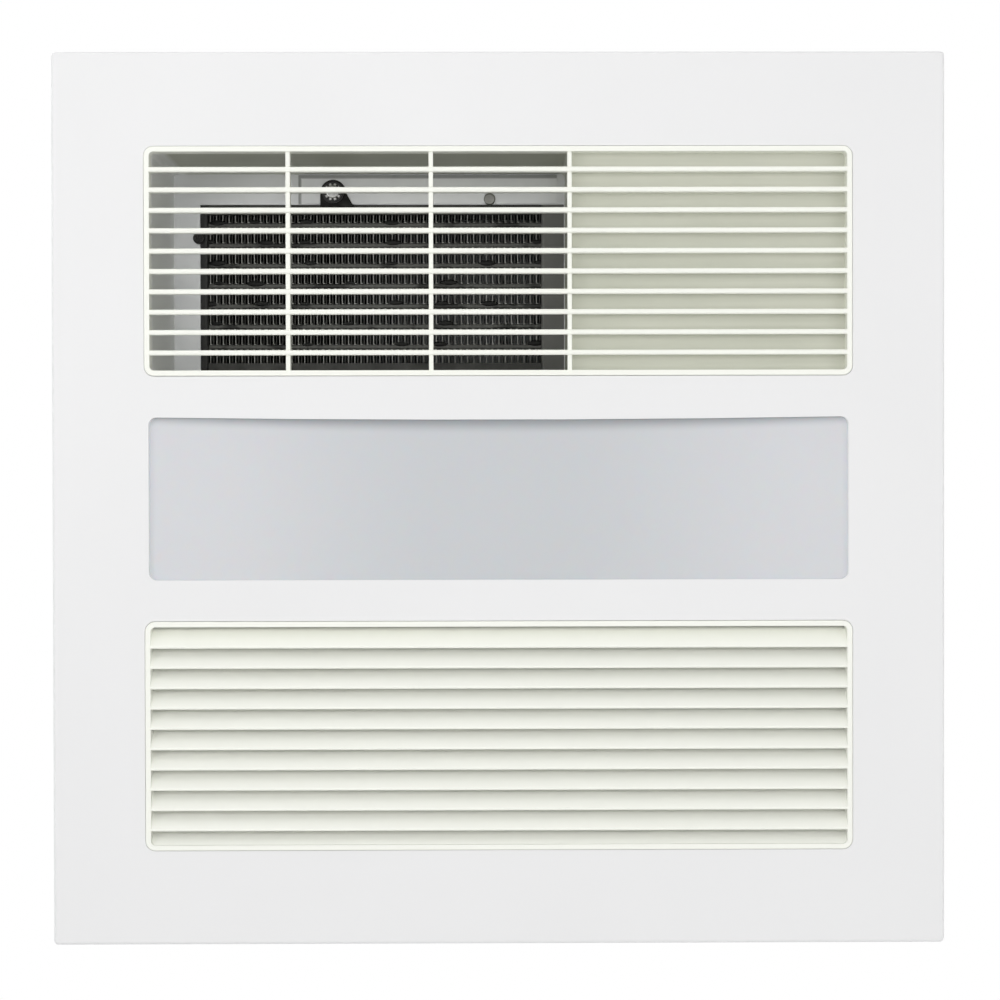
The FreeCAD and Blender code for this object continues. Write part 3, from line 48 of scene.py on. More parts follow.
# %% [markdown]
# The camera stands under the ceiling and looks straight up, as someone does who lies on the floor.
# The four corners of the fascia fix it: a lens of 72 mm at 0.9 m puts them where the photograph has
# them. The top of the picture is the side of the warm-air outlet, which is -Y here.

# %% Camera
MM = 0.001
eye = Vector((-4.5, -7.3, -912.2)) * MM
aim = Vector((0.5, 0.75, -12.2)) * MM
roll = math.radians(0.117)
lens_mm = 72.2
sensor_mm = 36.0
picture_top = Vector((0, -1, 0))

ahead = (aim - eye).normalized()
side = ahead.cross(picture_top).normalized()
upward = side.cross(ahead)
turned = Matrix.Rotation(roll, 3, ahead)
axes = Matrix((turned @ side, turned @ upward, -ahead)).transposed()
camera = bpy.data.objects.new("camera", bpy.data.cameras.new("camera"))
camera.data.lens = lens_mm
camera.data.sensor_width = sensor_mm
camera.data.clip_start = 0.01
camera.matrix_world = Matrix.Translation(eye) @ axes.to_4x4()
scene.collection.objects.link(camera)
scene.camera = camera
print("camera", round((aim - eye).length, 3), "m from the fascia")

# %% [markdown]
# Most of this lesson is nodes, so one small function adds a node with its settings and links.
# Colours are written as sRGB hex values, the way a paint chart gives them, and turned to linear light
# here. Patterns are sized in millimetres: a texture's scale is how many of its cells fit in a metre.

# %% Helpers for colours, sizes and nodes


def paint(code):
    shares = [int(code[i:i + 2], 16) / 255 for i in (1, 3, 5)]
    return [v / 12.92 if v <= 0.04045 else ((v + 0.055) / 1.055) ** 2.4 for v in shares] + [1.0]


def cells(size_mm):
    return 1000.0 / size_mm


def put(tree, kind, inputs=None, **settings):
    made = tree.nodes.new(kind)
    for name, value in settings.items():
        setattr(made, name, value)
    for socket, value in (inputs or {}).items():
        if isinstance(value, bpy.types.NodeSocket):
            tree.links.new(value, made.inputs[socket])
        else:
            made.inputs[socket].default_value = value
    return made


white = paint("#FFFFFF")
print("white in linear light:", white)

# %% [markdown]
# The photograph was taken in even studio light on white paper. The world gives that light: rays that
# go to the camera or come off something shiny see plain white, and the light that falls on the object
# is dimmer than that, so that white plastic still has room to show its shade. The paper goes on all
# round the panel, so the light is stronger in a band around it, which keeps the panel's rim from going
# dark. The band is full where a ray runs nearly level and has faded out where it is steep.

# %% World
room_light = 0.34
paper_light = 1.0
nearly_level = 0.05
steep_enough = 0.45


def kinds_of_ray(tree):
    path = put(tree, "ShaderNodeLightPath")
    shiny = put(tree, "ShaderNodeMath", {0: path.outputs["Is Glossy Ray"],
                                         1: path.outputs["Is Transmission Ray"]}, operation="MAXIMUM")
    return path.outputs["Is Camera Ray"], shiny.outputs[0]


world = bpy.data.worlds.new("studio")
scene.world = world
world.use_nodes = True
tree = world.node_tree
tree.nodes.clear()
to_camera, off_shiny = kinds_of_ray(tree)
seen = put(tree, "ShaderNodeMath", {0: to_camera, 1: off_shiny}, operation="MAXIMUM")
way = put(tree, "ShaderNodeSeparateXYZ", {0: put(tree, "ShaderNodeTexCoord").outputs["Generated"]})
steep = put(tree, "ShaderNodeMath", {0: way.outputs[2]}, operation="ABSOLUTE")
band = put(tree, "ShaderNodeMapRange", {"Value": steep.outputs[0], "From Min": nearly_level,
                                        "From Max": steep_enough, "To Min": paper_light,
                                        "To Max": room_light})
soft = put(tree, "ShaderNodeBackground", {"Color": white, "Strength": band.outputs[0]})
paper = put(tree, "ShaderNodeBackground", {"Color": white, "Strength": 1.0})
mixed = put(tree, "ShaderNodeMixShader", {0: seen.outputs[0], 1: soft.outputs[0], 2: paper.outputs[0]})
put(tree, "ShaderNodeOutputWorld", {"Surface": mixed.outputs[0]})
print("world: light", room_light, "from the front,", paper_light, "from the paper around")

# %% [markdown]
# Two lamps stand behind the camera, one towards the outlet and one towards the intake, and send their
# light straight into the slots. From there they would show as pale spots in the panel's gloss, so shiny
# surfaces don't see them. Two stand left and right. The key comes lower from the outlet's side and makes
# the shade under each bar and blade, and a weaker lamp fills from the other side. Two more hang over the
# housing, which the photograph doesn't show, so that its sheet metal has something to gleam with.

# %% Lamps
panel_middle = (0, 0, 0)
housing_middle = (0, 0, 0.1)


def lamp(name, place, target, size, power, gleam=True):
    data = bpy.data.lights.new(name, "AREA")
    data.size = size
    data.energy = power
    made = bpy.data.objects.new(name, data)
    made.location = place
    made.rotation_euler = (Vector(target) - Vector(place)).to_track_quat("-Z", "Y").to_euler()
    made.visible_camera = False
    made.visible_glossy = gleam
    scene.collection.objects.link(made)


lamp("front_outlet", (0.0, -0.3, -1.5), panel_middle, size=0.5, power=3.9, gleam=False)
lamp("front_intake", (0.0, 0.3, -1.5), panel_middle, size=0.5, power=1.75, gleam=False)
lamp("front_left", (-0.65, -0.08, -0.65), panel_middle, size=0.4, power=1.15)
lamp("front_right", (0.65, -0.08, -0.65), panel_middle, size=0.4, power=1.0)
lamp("key", (-0.2, -0.65, -0.6), panel_middle, size=0.5, power=1.15)
lamp("fill", (0.1, 0.7, -0.6), panel_middle, size=0.5, power=0.7)
lamp("over_left", (-1.1, -0.9, 1.3), housing_middle, size=1.0, power=14.0)
lamp("over_right", (1.2, 1.0, 1.5), housing_middle, size=1.0, power=9.0)

# %% [markdown]
# The floor lies 2.4 m below the ceiling, far behind the camera. It is a plain pale sheet that takes a
# shadow. Shiny pieces see it as white paper, and the camera sees it about two thirds of the way to that,
# so that it stays pale.

# %% Floor
reach = 4.0
floor_z = -2.4
paper_share = 0.65
floor_mesh = bpy.data.meshes.new("floor")
corners = [(x * reach, y * reach, floor_z) for x, y in ((-1, -1), (1, -1), (1, 1), (-1, 1))]
floor_mesh.from_pydata(corners, [], [(0, 1, 2, 3)])
floor = bpy.data.objects.new("floor", floor_mesh)
scene.collection.objects.link(floor)
floor_paint = bpy.data.materials.new("pale_floor_paint")
floor_paint.use_nodes = True
tree = floor_paint.node_tree
tree.nodes.clear()
to_camera, off_shiny = kinds_of_ray(tree)
matt = put(tree, "ShaderNodeBsdfDiffuse", {"Color": paint("#F2F2F0")})
paper = put(tree, "ShaderNodeEmission", {"Color": white, "Strength": 1.0})
seen = put(tree, "ShaderNodeMath", {0: to_camera, 1: paper_share}, operation="MULTIPLY")
glow = put(tree, "ShaderNodeMath", {0: seen.outputs[0], 1: off_shiny}, operation="MAXIMUM")
mixed = put(tree, "ShaderNodeMixShader", {0: glow.outputs[0], 1: matt.outputs[0], 2: paper.outputs[0]})
put(tree, "ShaderNodeOutputMaterial", {"Surface": mixed.outputs[0]})
floor_mesh.materials.append(floor_paint)
print("floor at", floor_z, "m")

# %% [markdown]
# Every finish starts the same way: a material with its constants set, the place on the piece to hang
# patterns on, and at the end the wires for colour, roughness and relief.
#
# Most of what shows is moulded plastic. A mould leaves a fine matt grain, the colour drifts a little
# where the melt cooled slowly, and years of handling leave a faint haze. So a moulded finish has two
# close colours in broad clouds, a roughness that wanders, and a low relief for the grain. The grain of
# the real mould is about 0.3 mm, too fine to show at this distance, so it is drawn about four times as
# coarse.

# %% Moulded plastic
finishes = {}


def blank_finish(name, constants):
    finishes[name] = bpy.data.materials.new(name)
    finishes[name].use_nodes = True
    tree = finishes[name].node_tree
    shader = tree.nodes["Principled BSDF"]
    for socket, value in constants.items():
        shader.inputs[socket].default_value = value
    return tree, shader, put(tree, "ShaderNodeTexCoord").outputs["Object"]


def wire(tree, shader, shade, gloss, bump=None):
    tree.links.new(shade.outputs[2], shader.inputs["Base Color"])
    tree.links.new(gloss.outputs[0], shader.inputs["Roughness"])
    if bump is not None:
        tree.links.new(bump.outputs[0], shader.inputs["Normal"])


def moulded(name, pale, deep, rough=0.4, ior=1.53, grain_mm=1.2, relief_mm=0.012, cloud_mm=140.0,
            haze_mm=22.0, polish=0.06, wear=0.08, extra=None):
    tree, shader, place = blank_finish(name, {"IOR": ior, **(extra or {})})
    cloud = put(tree, "ShaderNodeTexNoise", {"Vector": place, "Scale": cells(cloud_mm), "Detail": 3.0})
    shade = put(tree, "ShaderNodeMix", {0: cloud.outputs[0], 6: paint(pale), 7: paint(deep)},
                data_type="RGBA")
    haze = put(tree, "ShaderNodeTexNoise", {"Vector": place, "Scale": cells(haze_mm), "Detail": 5.0})
    gloss = put(tree, "ShaderNodeMapRange", {"Value": haze.outputs[0], "From Min": 0.3, "From Max": 0.7,
                                             "To Min": rough - polish, "To Max": rough + wear})
    grain = put(tree, "ShaderNodeTexNoise", {"Vector": place, "Scale": cells(grain_mm), "Detail": 2.0})
    bump = put(tree, "ShaderNodeBump", {"Height": grain.outputs[0], "Distance": relief_mm * MM,
                                        "Strength": 1.0})
    wire(tree, shader, shade, gloss, bump)


# ABS, injection moulded against a spark-eroded tool: soft, nearly matt white
moulded("fascia_abs", "#F1F1F2", "#ECECED", rough=0.5, extra={"Specular IOR Level": 0.35})
# ABS from another batch, creamier, and smoother on the narrow bars
moulded("grille_abs", "#FAFBF4", "#F8F9F1", rough=0.4, grain_mm=0.9)
# nylon, moulded: a milky white with a waxy gloss
moulded("white_nylon", "#ECECE4", "#E2E2D8", rough=0.38, cloud_mm=40.0,
        extra={"Subsurface Weight": 0.08, "Subsurface Scale": 0.002})
# PBT, moulded, for the cases of the driver and the capacitor
moulded("white_pbt", "#EAEAE4", "#E0E0D9", rough=0.34, cloud_mm=60.0)
# polypropylene with talc, moulded: the matt grey of blower casings
moulded("grey_polypropylene", "#A9ABAB", "#9C9E9F", rough=0.5, cloud_mm=70.0, relief_mm=0.02)
# nylon with carbon black, moulded: the gland and its nut
moulded("black_nylon", "#262626", "#1C1C1C", rough=0.42, cloud_mm=18.0)
# phenolic resin, pressed: hard, black and a little shiny
moulded("black_phenolic", "#242322", "#181716", rough=0.33, ior=1.62, cloud_mm=6.0)
print("moulded finishes:", sorted(finishes))

# %% [markdown]
# The collar and the blank plate behind the slots are a cheaper plastic. It was filled from one end of a
# long mould, and the flow left pale streaks along it, which show through the slots in the photograph. A
# noise that is stretched forty to one along X draws those streaks. The plate and the collar's long walls
# have gone cream in the heater's warmth. The collar's left end is painted white, which is painted light
# where light from the right falls on that wall.

# %% Streaked polypropylene
streak_mm = 3.0
streak_stretch = 40
cloud_mm = 60.0
lit_end_mm = -152.0
lit_end_fade_mm = 3.0
relief_mm = 0.02
# polypropylene, moulded and warmed for years: a dull cream, painted white at the left end as painted light
tree, shader, place = blank_finish("cream_polypropylene", {"IOR": 1.49, "Specular IOR Level": 0.4})
stretch = put(tree, "ShaderNodeMapping", {"Vector": place, "Scale": (1 / streak_stretch, 1.0, 1.0)})
streak = put(tree, "ShaderNodeTexNoise", {"Vector": stretch.outputs[0], "Scale": cells(streak_mm),
                                          "Detail": 4.0})
cloud = put(tree, "ShaderNodeTexNoise", {"Vector": place, "Scale": cells(cloud_mm), "Detail": 2.0})
both = put(tree, "ShaderNodeMath", {0: streak.outputs[0], 1: cloud.outputs[0]}, operation="MULTIPLY")
amount = put(tree, "ShaderNodeMapRange", {"Value": both.outputs[0], "From Min": 0.12, "From Max": 0.4})
aged = put(tree, "ShaderNodeMix", {0: amount.outputs[0], 6: paint("#C7C9BC"), 7: paint("#D2D3C7")},
           data_type="RGBA")
spot = put(tree, "ShaderNodeSeparateXYZ", {0: place})
# painted light: the collar's left wall is painted white
painted_light_end = put(tree, "ShaderNodeMapRange", {"Value": spot.outputs[0], "From Min": lit_end_mm * MM,
                                        "From Max": (lit_end_mm + lit_end_fade_mm) * MM,
                                        "To Min": 1.0, "To Max": 0.0})
shade = put(tree, "ShaderNodeMix", {0: painted_light_end.outputs[0], 6: aged.outputs[2], 7: paint("#FAFBFA")},
            data_type="RGBA")
gloss = put(tree, "ShaderNodeMapRange", {"Value": streak.outputs[0], "To Min": 0.38, "To Max": 0.55})
bump = put(tree, "ShaderNodeBump", {"Height": streak.outputs[0], "Distance": relief_mm * MM,
                                    "Strength": 1.0})
wire(tree, shader, shade, gloss, bump)
print("polypropylene with streaks every", streak_mm, "mm")

# %% [markdown]
# The heater's two end caps are PBT with glass fibre, with the dry grey of its skin. The cap at the wired,
# left end is painted nearly black as painted shade, where the collar's wall shades it. A ramp along X goes
# from one to the other.

# %% End caps
cap_low, cap_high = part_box("heater_end_caps")
cloud_mm = 14.0
grain_mm = 1.2
relief_mm = 0.03
# PBT with glass fibre, moulded: a dry dark grey with a cloudy skin
tree, shader, place = blank_finish("glass_filled_pbt", {"IOR": 1.57})
cloud = put(tree, "ShaderNodeTexNoise", {"Vector": place, "Scale": cells(cloud_mm), "Detail": 3.0})
dry = put(tree, "ShaderNodeMix", {0: cloud.outputs[0], 6: paint("#7D7D7A"), 7: paint("#6D6D6A")},
          data_type="RGBA")
spot = put(tree, "ShaderNodeSeparateXYZ", {0: place})
# painted shade: the left cap is painted nearly black, fading to the dry grey at the right
painted_shade_ramp = put(tree, "ShaderNodeMapRange", {"Value": spot.outputs[0], "From Min": cap_low.x,
                                        "From Max": cap_high.x})
shade = put(tree, "ShaderNodeMix", {0: painted_shade_ramp.outputs[0], 6: paint("#141414"), 7: dry.outputs[2]},
            data_type="RGBA")
grain = put(tree, "ShaderNodeTexNoise", {"Vector": place, "Scale": cells(grain_mm), "Detail": 2.0})
gloss = put(tree, "ShaderNodeMapRange", {"Value": cloud.outputs[0], "To Min": 0.46, "To Max": 0.6})
bump = put(tree, "ShaderNodeBump", {"Height": grain.outputs[0], "Distance": relief_mm * MM,
                                    "Strength": 1.0})
wire(tree, shader, shade, gloss, bump)
print("end caps", round(1000 * (cap_high.x - cap_low.x)), "mm apart, outside to outside")

# %% [markdown]
# The diffuser is a sheet of opal acrylic. Its body is milky, so light goes a little way in before it
# comes out, and its face is smooth enough to give back a dim picture of the room. The sheet is painted
# paler towards both ends, which is painted light: a ramp on the distance from the middle draws that, and
# broad clouds show where the sheet is thicker. Along the upper edge, which bows down in the middle, a
# soft grey line follows the bow: a painted shadow of the panel's lip on the sheet.

# %% Opal acrylic
cloud_mm = 95.0
cloud_squeeze = 0.35
cloud_share = 0.15
end_light_from_mm = 20.0
end_light_full_mm = 150.0
edge_y_mm = -36.0
edge_bow_mm = 4.0
edge_shadow_mm = 8.0
mist_mm = 1.6
relief_mm = 0.006
half_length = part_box("light_diffuser")[1].x
# acrylic with a milky filler, cast as sheet: smooth and a little see-through at the skin
tree, shader, place = blank_finish("opal_acrylic", {"IOR": 1.49, "Subsurface Weight": 0.25,
                                                    "Subsurface Scale": 0.003, "Coat Weight": 0.15,
                                                    "Coat Roughness": 0.12})
wide = put(tree, "ShaderNodeMapping", {"Vector": place, "Scale": (1.0, cloud_squeeze, 1.0)})
cloud = put(tree, "ShaderNodeTexNoise", {"Vector": wide.outputs[0], "Scale": cells(cloud_mm),
                                         "Detail": 2.5})
spot = put(tree, "ShaderNodeSeparateXYZ", {0: place})
far = put(tree, "ShaderNodeMath", {0: spot.outputs[0]}, operation="ABSOLUTE")
# painted light: the sheet is painted paler towards both ends
painted_end_light = put(tree, "ShaderNodeMapRange", {"Value": far.outputs[0], "From Min": end_light_from_mm * MM,
                                        "From Max": end_light_full_mm * MM}, interpolation_type="SMOOTHSTEP")
amount = put(tree, "ShaderNodeMix", {0: cloud_share, 2: painted_end_light.outputs[0], 3: cloud.outputs[0]},
             data_type="FLOAT")
milky_with_end_light = put(tree, "ShaderNodeMix", {0: amount.outputs[0], 6: paint("#CACDD1"), 7: paint("#D9DADE")},
            data_type="RGBA")
square = put(tree, "ShaderNodeMath", {0: spot.outputs[0], 1: spot.outputs[0]}, operation="MULTIPLY")
bow = put(tree, "ShaderNodeMath", {0: square.outputs[0], 1: edge_bow_mm * MM / half_length ** 2,
                                   2: spot.outputs[1]}, operation="MULTIPLY_ADD")
# painted shadow: a grey line along the bowed upper edge, cast by the panel's lip
painted_edge_shadow = put(tree, "ShaderNodeMapRange", {"Value": bow.outputs[0], "From Min": edge_y_mm * MM,
                                        "From Max": (edge_y_mm + edge_shadow_mm) * MM},
           interpolation_type="SMOOTHERSTEP")
shade = put(tree, "ShaderNodeMix", {0: painted_edge_shadow.outputs[0], 6: paint("#A2A5A9"), 7: milky_with_end_light.outputs[2]},
            data_type="RGBA")
mist = put(tree, "ShaderNodeTexNoise", {"Vector": place, "Scale": cells(mist_mm), "Detail": 2.0})
gloss = put(tree, "ShaderNodeMapRange", {"Value": mist.outputs[0], "To Min": 0.3, "To Max": 0.42})
bump = put(tree, "ShaderNodeBump", {"Height": mist.outputs[0], "Distance": relief_mm * MM,
                                    "Strength": 1.0})
wire(tree, shader, shade, gloss, bump)
print("opal acrylic with clouds of", cloud_mm, "mm")

# %% [markdown]
# The housing is folded from hot-dip galvanised sheet. Zinc freezes in crystals of a centimetre or so, the
# spangle, and each crystal turns the light its own way. A Voronoi pattern gives the crystals: one random
# number per cell sets its shade and another its roughness, and a fine noise adds the dull bloom that zinc
# grows in a damp room.

# %% Galvanised sheet
spangle_mm = 7.0
bloom_mm = 1.5
bloom_share = 0.3
relief_mm = 0.02
# steel, hot dipped in zinc and weathered: pale grey, half way between a metal and its dull bloom
tree, shader, place = blank_finish("galvanised_sheet", {"Metallic": 0.45})
crystal = put(tree, "ShaderNodeTexVoronoi", {"Vector": place, "Scale": cells(spangle_mm),
                                             "Randomness": 1.0})
pick = put(tree, "ShaderNodeSeparateColor", {0: crystal.outputs["Color"]})
bloom = put(tree, "ShaderNodeTexNoise", {"Vector": place, "Scale": cells(bloom_mm), "Detail": 4.0})
blur = put(tree, "ShaderNodeMix", {0: bloom_share, 2: pick.outputs[0], 3: bloom.outputs[0]},
           data_type="FLOAT")
shade = put(tree, "ShaderNodeMix", {0: blur.outputs[0], 6: paint("#CCCFD0"), 7: paint("#D9DCDC")},
            data_type="RGBA")
gloss = put(tree, "ShaderNodeMapRange", {"Value": pick.outputs[1], "To Min": 0.38, "To Max": 0.48})
bump = put(tree, "ShaderNodeBump", {"Height": bloom.outputs[0], "Distance": relief_mm * MM,
                                    "Strength": 1.0})
wire(tree, shader, shade, gloss, bump)
print("galvanised sheet with a spangle of", spangle_mm, "mm")

# %% [markdown]
# The other metals are plated, turned, drawn or coated. They share a build: two close colours in small
# clouds for tarnish, a roughness that follows the clouds, and a relief of tool marks. The size of the
# clouds and how shiny they are make one zinc and another brass.

# %% Plated, drawn and coated metals


def metal(name, pale, deep, rough, mottle_mm, mark_mm, relief_mm=0.01, polish=0.1, wear=0.14, extra=None):
    tree, shader, place = blank_finish(name, {"Metallic": 1.0, **(extra or {})})
    mottle = put(tree, "ShaderNodeTexNoise", {"Vector": place, "Scale": cells(mottle_mm), "Detail": 4.0})
    spread = put(tree, "ShaderNodeMapRange", {"Value": mottle.outputs[0], "From Min": 0.35,
                                              "From Max": 0.65})
    shade = put(tree, "ShaderNodeMix", {0: spread.outputs[0], 6: paint(pale), 7: paint(deep)},
                data_type="RGBA")
    gloss = put(tree, "ShaderNodeMapRange", {"Value": mottle.outputs[0], "To Min": rough - polish,
                                             "To Max": rough + wear})
    marks = put(tree, "ShaderNodeTexNoise", {"Vector": place, "Scale": cells(mark_mm), "Detail": 3.0})
    bump = put(tree, "ShaderNodeBump", {"Height": marks.outputs[0], "Distance": relief_mm * MM,
                                        "Strength": 1.0})
    wire(tree, shader, shade, gloss, bump)


# steel, zinc plated and passivated: bright with a faint straw tint
metal("zinc_plate", "#CBCAC3", "#B9B9B4", rough=0.3, mottle_mm=6.0, mark_mm=0.8)
# steel sheet, deep drawn and plated: the motor's can and the damper motor's case
metal("drawn_steel", "#BDBDBA", "#A4A4A2", rough=0.38, mottle_mm=18.0, mark_mm=1.4, relief_mm=0.02)
# brass, turned: terminals and the earth stud
metal("turned_brass", "#D0AE63", "#B08C45", rough=0.3, mottle_mm=4.0, mark_mm=0.7)
# bronze, sintered and oiled: brown and porous
metal("sintered_bronze", "#9C7A46", "#7C5D33", rough=0.45, mottle_mm=1.8, mark_mm=0.7, relief_mm=0.03)
# steel, hot dipped in aluminium for the heat: a smooth pale silver without spangle
metal("aluminised_sheet", "#F3F4F5", "#EAEBED", rough=0.38, mottle_mm=25.0, mark_mm=1.4,
      extra={"Metallic": 0.65})
# aluminium, pressed and crimped: the bright cup of the cut-out
metal("bright_aluminium", "#DCDCDA", "#C4C4C2", rough=0.26, mottle_mm=3.0, mark_mm=0.8)
# steel with a black phosphate coat
metal("phosphated_steel", "#3A3A39", "#2A2A29", rough=0.5, mottle_mm=5.0, mark_mm=0.9, relief_mm=0.02)
# aluminium rails of the heater, dipped in its dark varnish
metal("varnished_rails", "#565654", "#434341", rough=0.5, mottle_mm=12.0, mark_mm=1.2, relief_mm=0.02,
      extra={"Metallic": 0.35})
# steel of the blower wheel, dipped in black paint
metal("dipped_wheel_paint", "#2A2B2C", "#202122", rough=0.36, mottle_mm=10.0, mark_mm=1.6, relief_mm=0.02,
      extra={"Metallic": 0.0, "Coat Weight": 0.2, "Coat Roughness": 0.2})
# aluminium of the lamp tray, powder coated: white with the fine orange peel of melted powder
metal("powder_coat", "#EFEFEC", "#E8E8E5", rough=0.4, mottle_mm=30.0, mark_mm=2.4, relief_mm=0.05,
      extra={"Metallic": 0.0})
print("finishes so far:", len(finishes))

# %% [markdown]
# The heater's fins are one aluminium strip per row, folded to and fro every 3 mm and dipped in varnish.
# The legs of the folds are painted bright and dark by turns: painted light on one side of each fold and
# painted shade on the other. The distance along the row, divided by the fold and cut to its fraction,
# tells the two sides of a fold apart.

# %% Varnished fins
fold_mm = 3.0
mottle_mm = 9.0
mark_mm = 1.0
relief_mm = 0.02
fin_low, fin_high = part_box("heater_fins")
fold_count = int((fin_high.x - fin_low.x) / (fold_mm * MM))
# aluminium strip with baked varnish: a dull grey, its fold legs painted light and painted shade by turns
tree, shader, place = blank_finish("varnished_fins", {"Metallic": 0.3})
spot = put(tree, "ShaderNodeSeparateXYZ", {0: place})
turn = put(tree, "ShaderNodeMapRange", {"Value": spot.outputs[0], "From Min": fin_low.x,
                                        "From Max": fin_high.x, "To Max": fold_count})
part_turn = put(tree, "ShaderNodeMath", {0: turn.outputs[0]}, operation="FRACT")
# painted shade on every second leg of the folds, painted light on the others
painted_shade_legs = put(tree, "ShaderNodeMath", {0: part_turn.outputs[0], 1: 0.5}, operation="GREATER_THAN")
mottle = put(tree, "ShaderNodeTexNoise", {"Vector": place, "Scale": cells(mottle_mm), "Detail": 4.0})
spread = put(tree, "ShaderNodeMapRange", {"Value": mottle.outputs[0], "From Min": 0.35, "From Max": 0.65})
painted_light_and_shade = put(tree, "ShaderNodeMix", {0: spread.outputs[0], 6: paint("#CACAC6"), 7: paint("#A6A6A2")},
           data_type="RGBA")
shaded_leg_colour = put(tree, "ShaderNodeMix", {0: spread.outputs[0], 6: paint("#5A5A57"), 7: paint("#444442")},
           data_type="RGBA")
shade = put(tree, "ShaderNodeMix", {0: painted_shade_legs.outputs[0], 6: painted_light_and_shade.outputs[2], 7: shaded_leg_colour.outputs[2]},
            data_type="RGBA")
gloss = put(tree, "ShaderNodeMapRange", {"Value": mottle.outputs[0], "To Min": 0.4, "To Max": 0.64})
marks = put(tree, "ShaderNodeTexNoise", {"Vector": place, "Scale": cells(mark_mm), "Detail": 3.0})
bump = put(tree, "ShaderNodeBump", {"Height": marks.outputs[0], "Distance": relief_mm * MM,
                                    "Strength": 1.0})
wire(tree, shader, shade, gloss, bump)
print(fold_count, "folds in each row of fins")

# %% [markdown]
# The heater's flat tubes hold the ceramic stones. Their varnish is worn grey on the edges that face the
# room, and the sealant that was wiped along them left dark smears. A noise cut off sharply draws the
# smears.

# %% Smeared tubes
smear_mm = 7.0
smear_squeeze = 0.45
dust_mm = 1.4
relief_mm = 0.15
# aluminium tube under worn varnish: grey, with dark and shinier smears of sealant
tree, shader, place = blank_finish("smeared_tubes", {"Metallic": 0.35})
stretch = put(tree, "ShaderNodeMapping", {"Vector": place, "Scale": (smear_squeeze, 1.0, 1.0)})
smear = put(tree, "ShaderNodeTexNoise", {"Vector": stretch.outputs[0], "Scale": cells(smear_mm),
                                         "Detail": 3.0})
cut = put(tree, "ShaderNodeMapRange", {"Value": smear.outputs[0], "From Min": 0.52, "From Max": 0.62})
dust = put(tree, "ShaderNodeTexNoise", {"Vector": place, "Scale": cells(dust_mm), "Detail": 3.0})
worn = put(tree, "ShaderNodeMix", {0: dust.outputs[0], 6: paint("#5C5C59"), 7: paint("#6E6E6B")},
           data_type="RGBA")
shade = put(tree, "ShaderNodeMix", {0: cut.outputs[0], 6: worn.outputs[2], 7: paint("#2E2E2C")},
            data_type="RGBA")
gloss = put(tree, "ShaderNodeMapRange", {"Value": cut.outputs[0], "To Min": 0.5, "To Max": 0.34})
bump = put(tree, "ShaderNodeBump", {"Height": cut.outputs[0], "Distance": relief_mm * MM,
                                    "Strength": 1.0})
wire(tree, shader, shade, gloss, bump)
print("smears of", smear_mm, "mm on the tubes")

# %% [markdown]
# Inside the motor are a stack of varnished steel sheets and two rings of copper wire. The sheets are half
# a millimetre thick and the wire is as thin, so both are drawn as bands three times as coarse, to show at
# all. The wire wanders a little where it was wound.

# %% Laminations and windings
sheet_mm = 1.6
strand_mm = 1.4


def banded(name, pale, deep, band_mm, rough, metallic, waver, stain_mm=9.0, relief_mm=0.2, spread=0.1):
    tree, shader, place = blank_finish(name, {"Metallic": metallic})
    bands = put(tree, "ShaderNodeTexWave", {"Vector": place, "Scale": cells(band_mm) / (2 * math.pi),
                                            "Distortion": waver, "Detail": 2.0, "Detail Scale": 2.0},
                wave_type="BANDS", bands_direction="Z", wave_profile="SIN")
    stain = put(tree, "ShaderNodeTexNoise", {"Vector": place, "Scale": cells(stain_mm), "Detail": 3.0})
    both = put(tree, "ShaderNodeMath", {0: bands.outputs[1], 1: stain.outputs[0]}, operation="MULTIPLY")
    shade = put(tree, "ShaderNodeMix", {0: both.outputs[0], 6: paint(deep), 7: paint(pale)},
                data_type="RGBA")
    gloss = put(tree, "ShaderNodeMapRange", {"Value": stain.outputs[0], "To Min": rough - spread,
                                             "To Max": rough + spread})
    bump = put(tree, "ShaderNodeBump", {"Height": bands.outputs[1], "Distance": relief_mm * MM,
                                        "Strength": 1.0})
    wire(tree, shader, shade, gloss, bump)


# electrical steel, stamped and varnished: dark grey in fine layers
banded("varnished_laminations", "#6E6E70", "#3A3A3C", sheet_mm, rough=0.45, metallic=0.7, waver=0.0)
# copper wire in red-brown enamel
banded("enamelled_copper", "#C4723A", "#6E3418", strand_mm, rough=0.35, metallic=0.8, waver=2.0)
print("bands of", sheet_mm, "mm and", strand_mm, "mm")

# %% [markdown]
# The lamp board is white solder mask with yellow chips under it. The chips are solids of the same node,
# so the height tells them apart: everything below the board's underside is phosphor.

# %% Lamp board
chip_share = 0.2
dust_mm = 8.0
board_low, board_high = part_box("led_board")
underside = board_low.z + (board_high.z - board_low.z) * chip_share
# solder mask on the board, silicone with phosphor on the chips
tree, shader, place = blank_finish("lamp_board", {"IOR": 1.55})
spot = put(tree, "ShaderNodeSeparateXYZ", {0: place})
chip = put(tree, "ShaderNodeMath", {0: spot.outputs[2], 1: underside}, operation="LESS_THAN")
dust = put(tree, "ShaderNodeTexNoise", {"Vector": place, "Scale": cells(dust_mm), "Detail": 3.0})
mask = put(tree, "ShaderNodeMix", {0: dust.outputs[0], 6: paint("#EDEEEA"), 7: paint("#E2E3DF")},
           data_type="RGBA")
shade = put(tree, "ShaderNodeMix", {0: chip.outputs[0], 6: mask.outputs[2], 7: paint("#EFD36A")},
            data_type="RGBA")
gloss = put(tree, "ShaderNodeMapRange", {"Value": chip.outputs[0], "To Min": 0.42, "To Max": 0.25})
wire(tree, shader, shade, gloss)
print("chips below", round(underside * 1000, 2), "mm")

# %% [markdown]
# The gasket under the duct spigot is black foam rubber, cut from sheet. Its cut cells are open and catch
# no light, so it is the darkest piece of all.

# %% Foam rubber
pore_mm = 1.3
relief_mm = 0.3
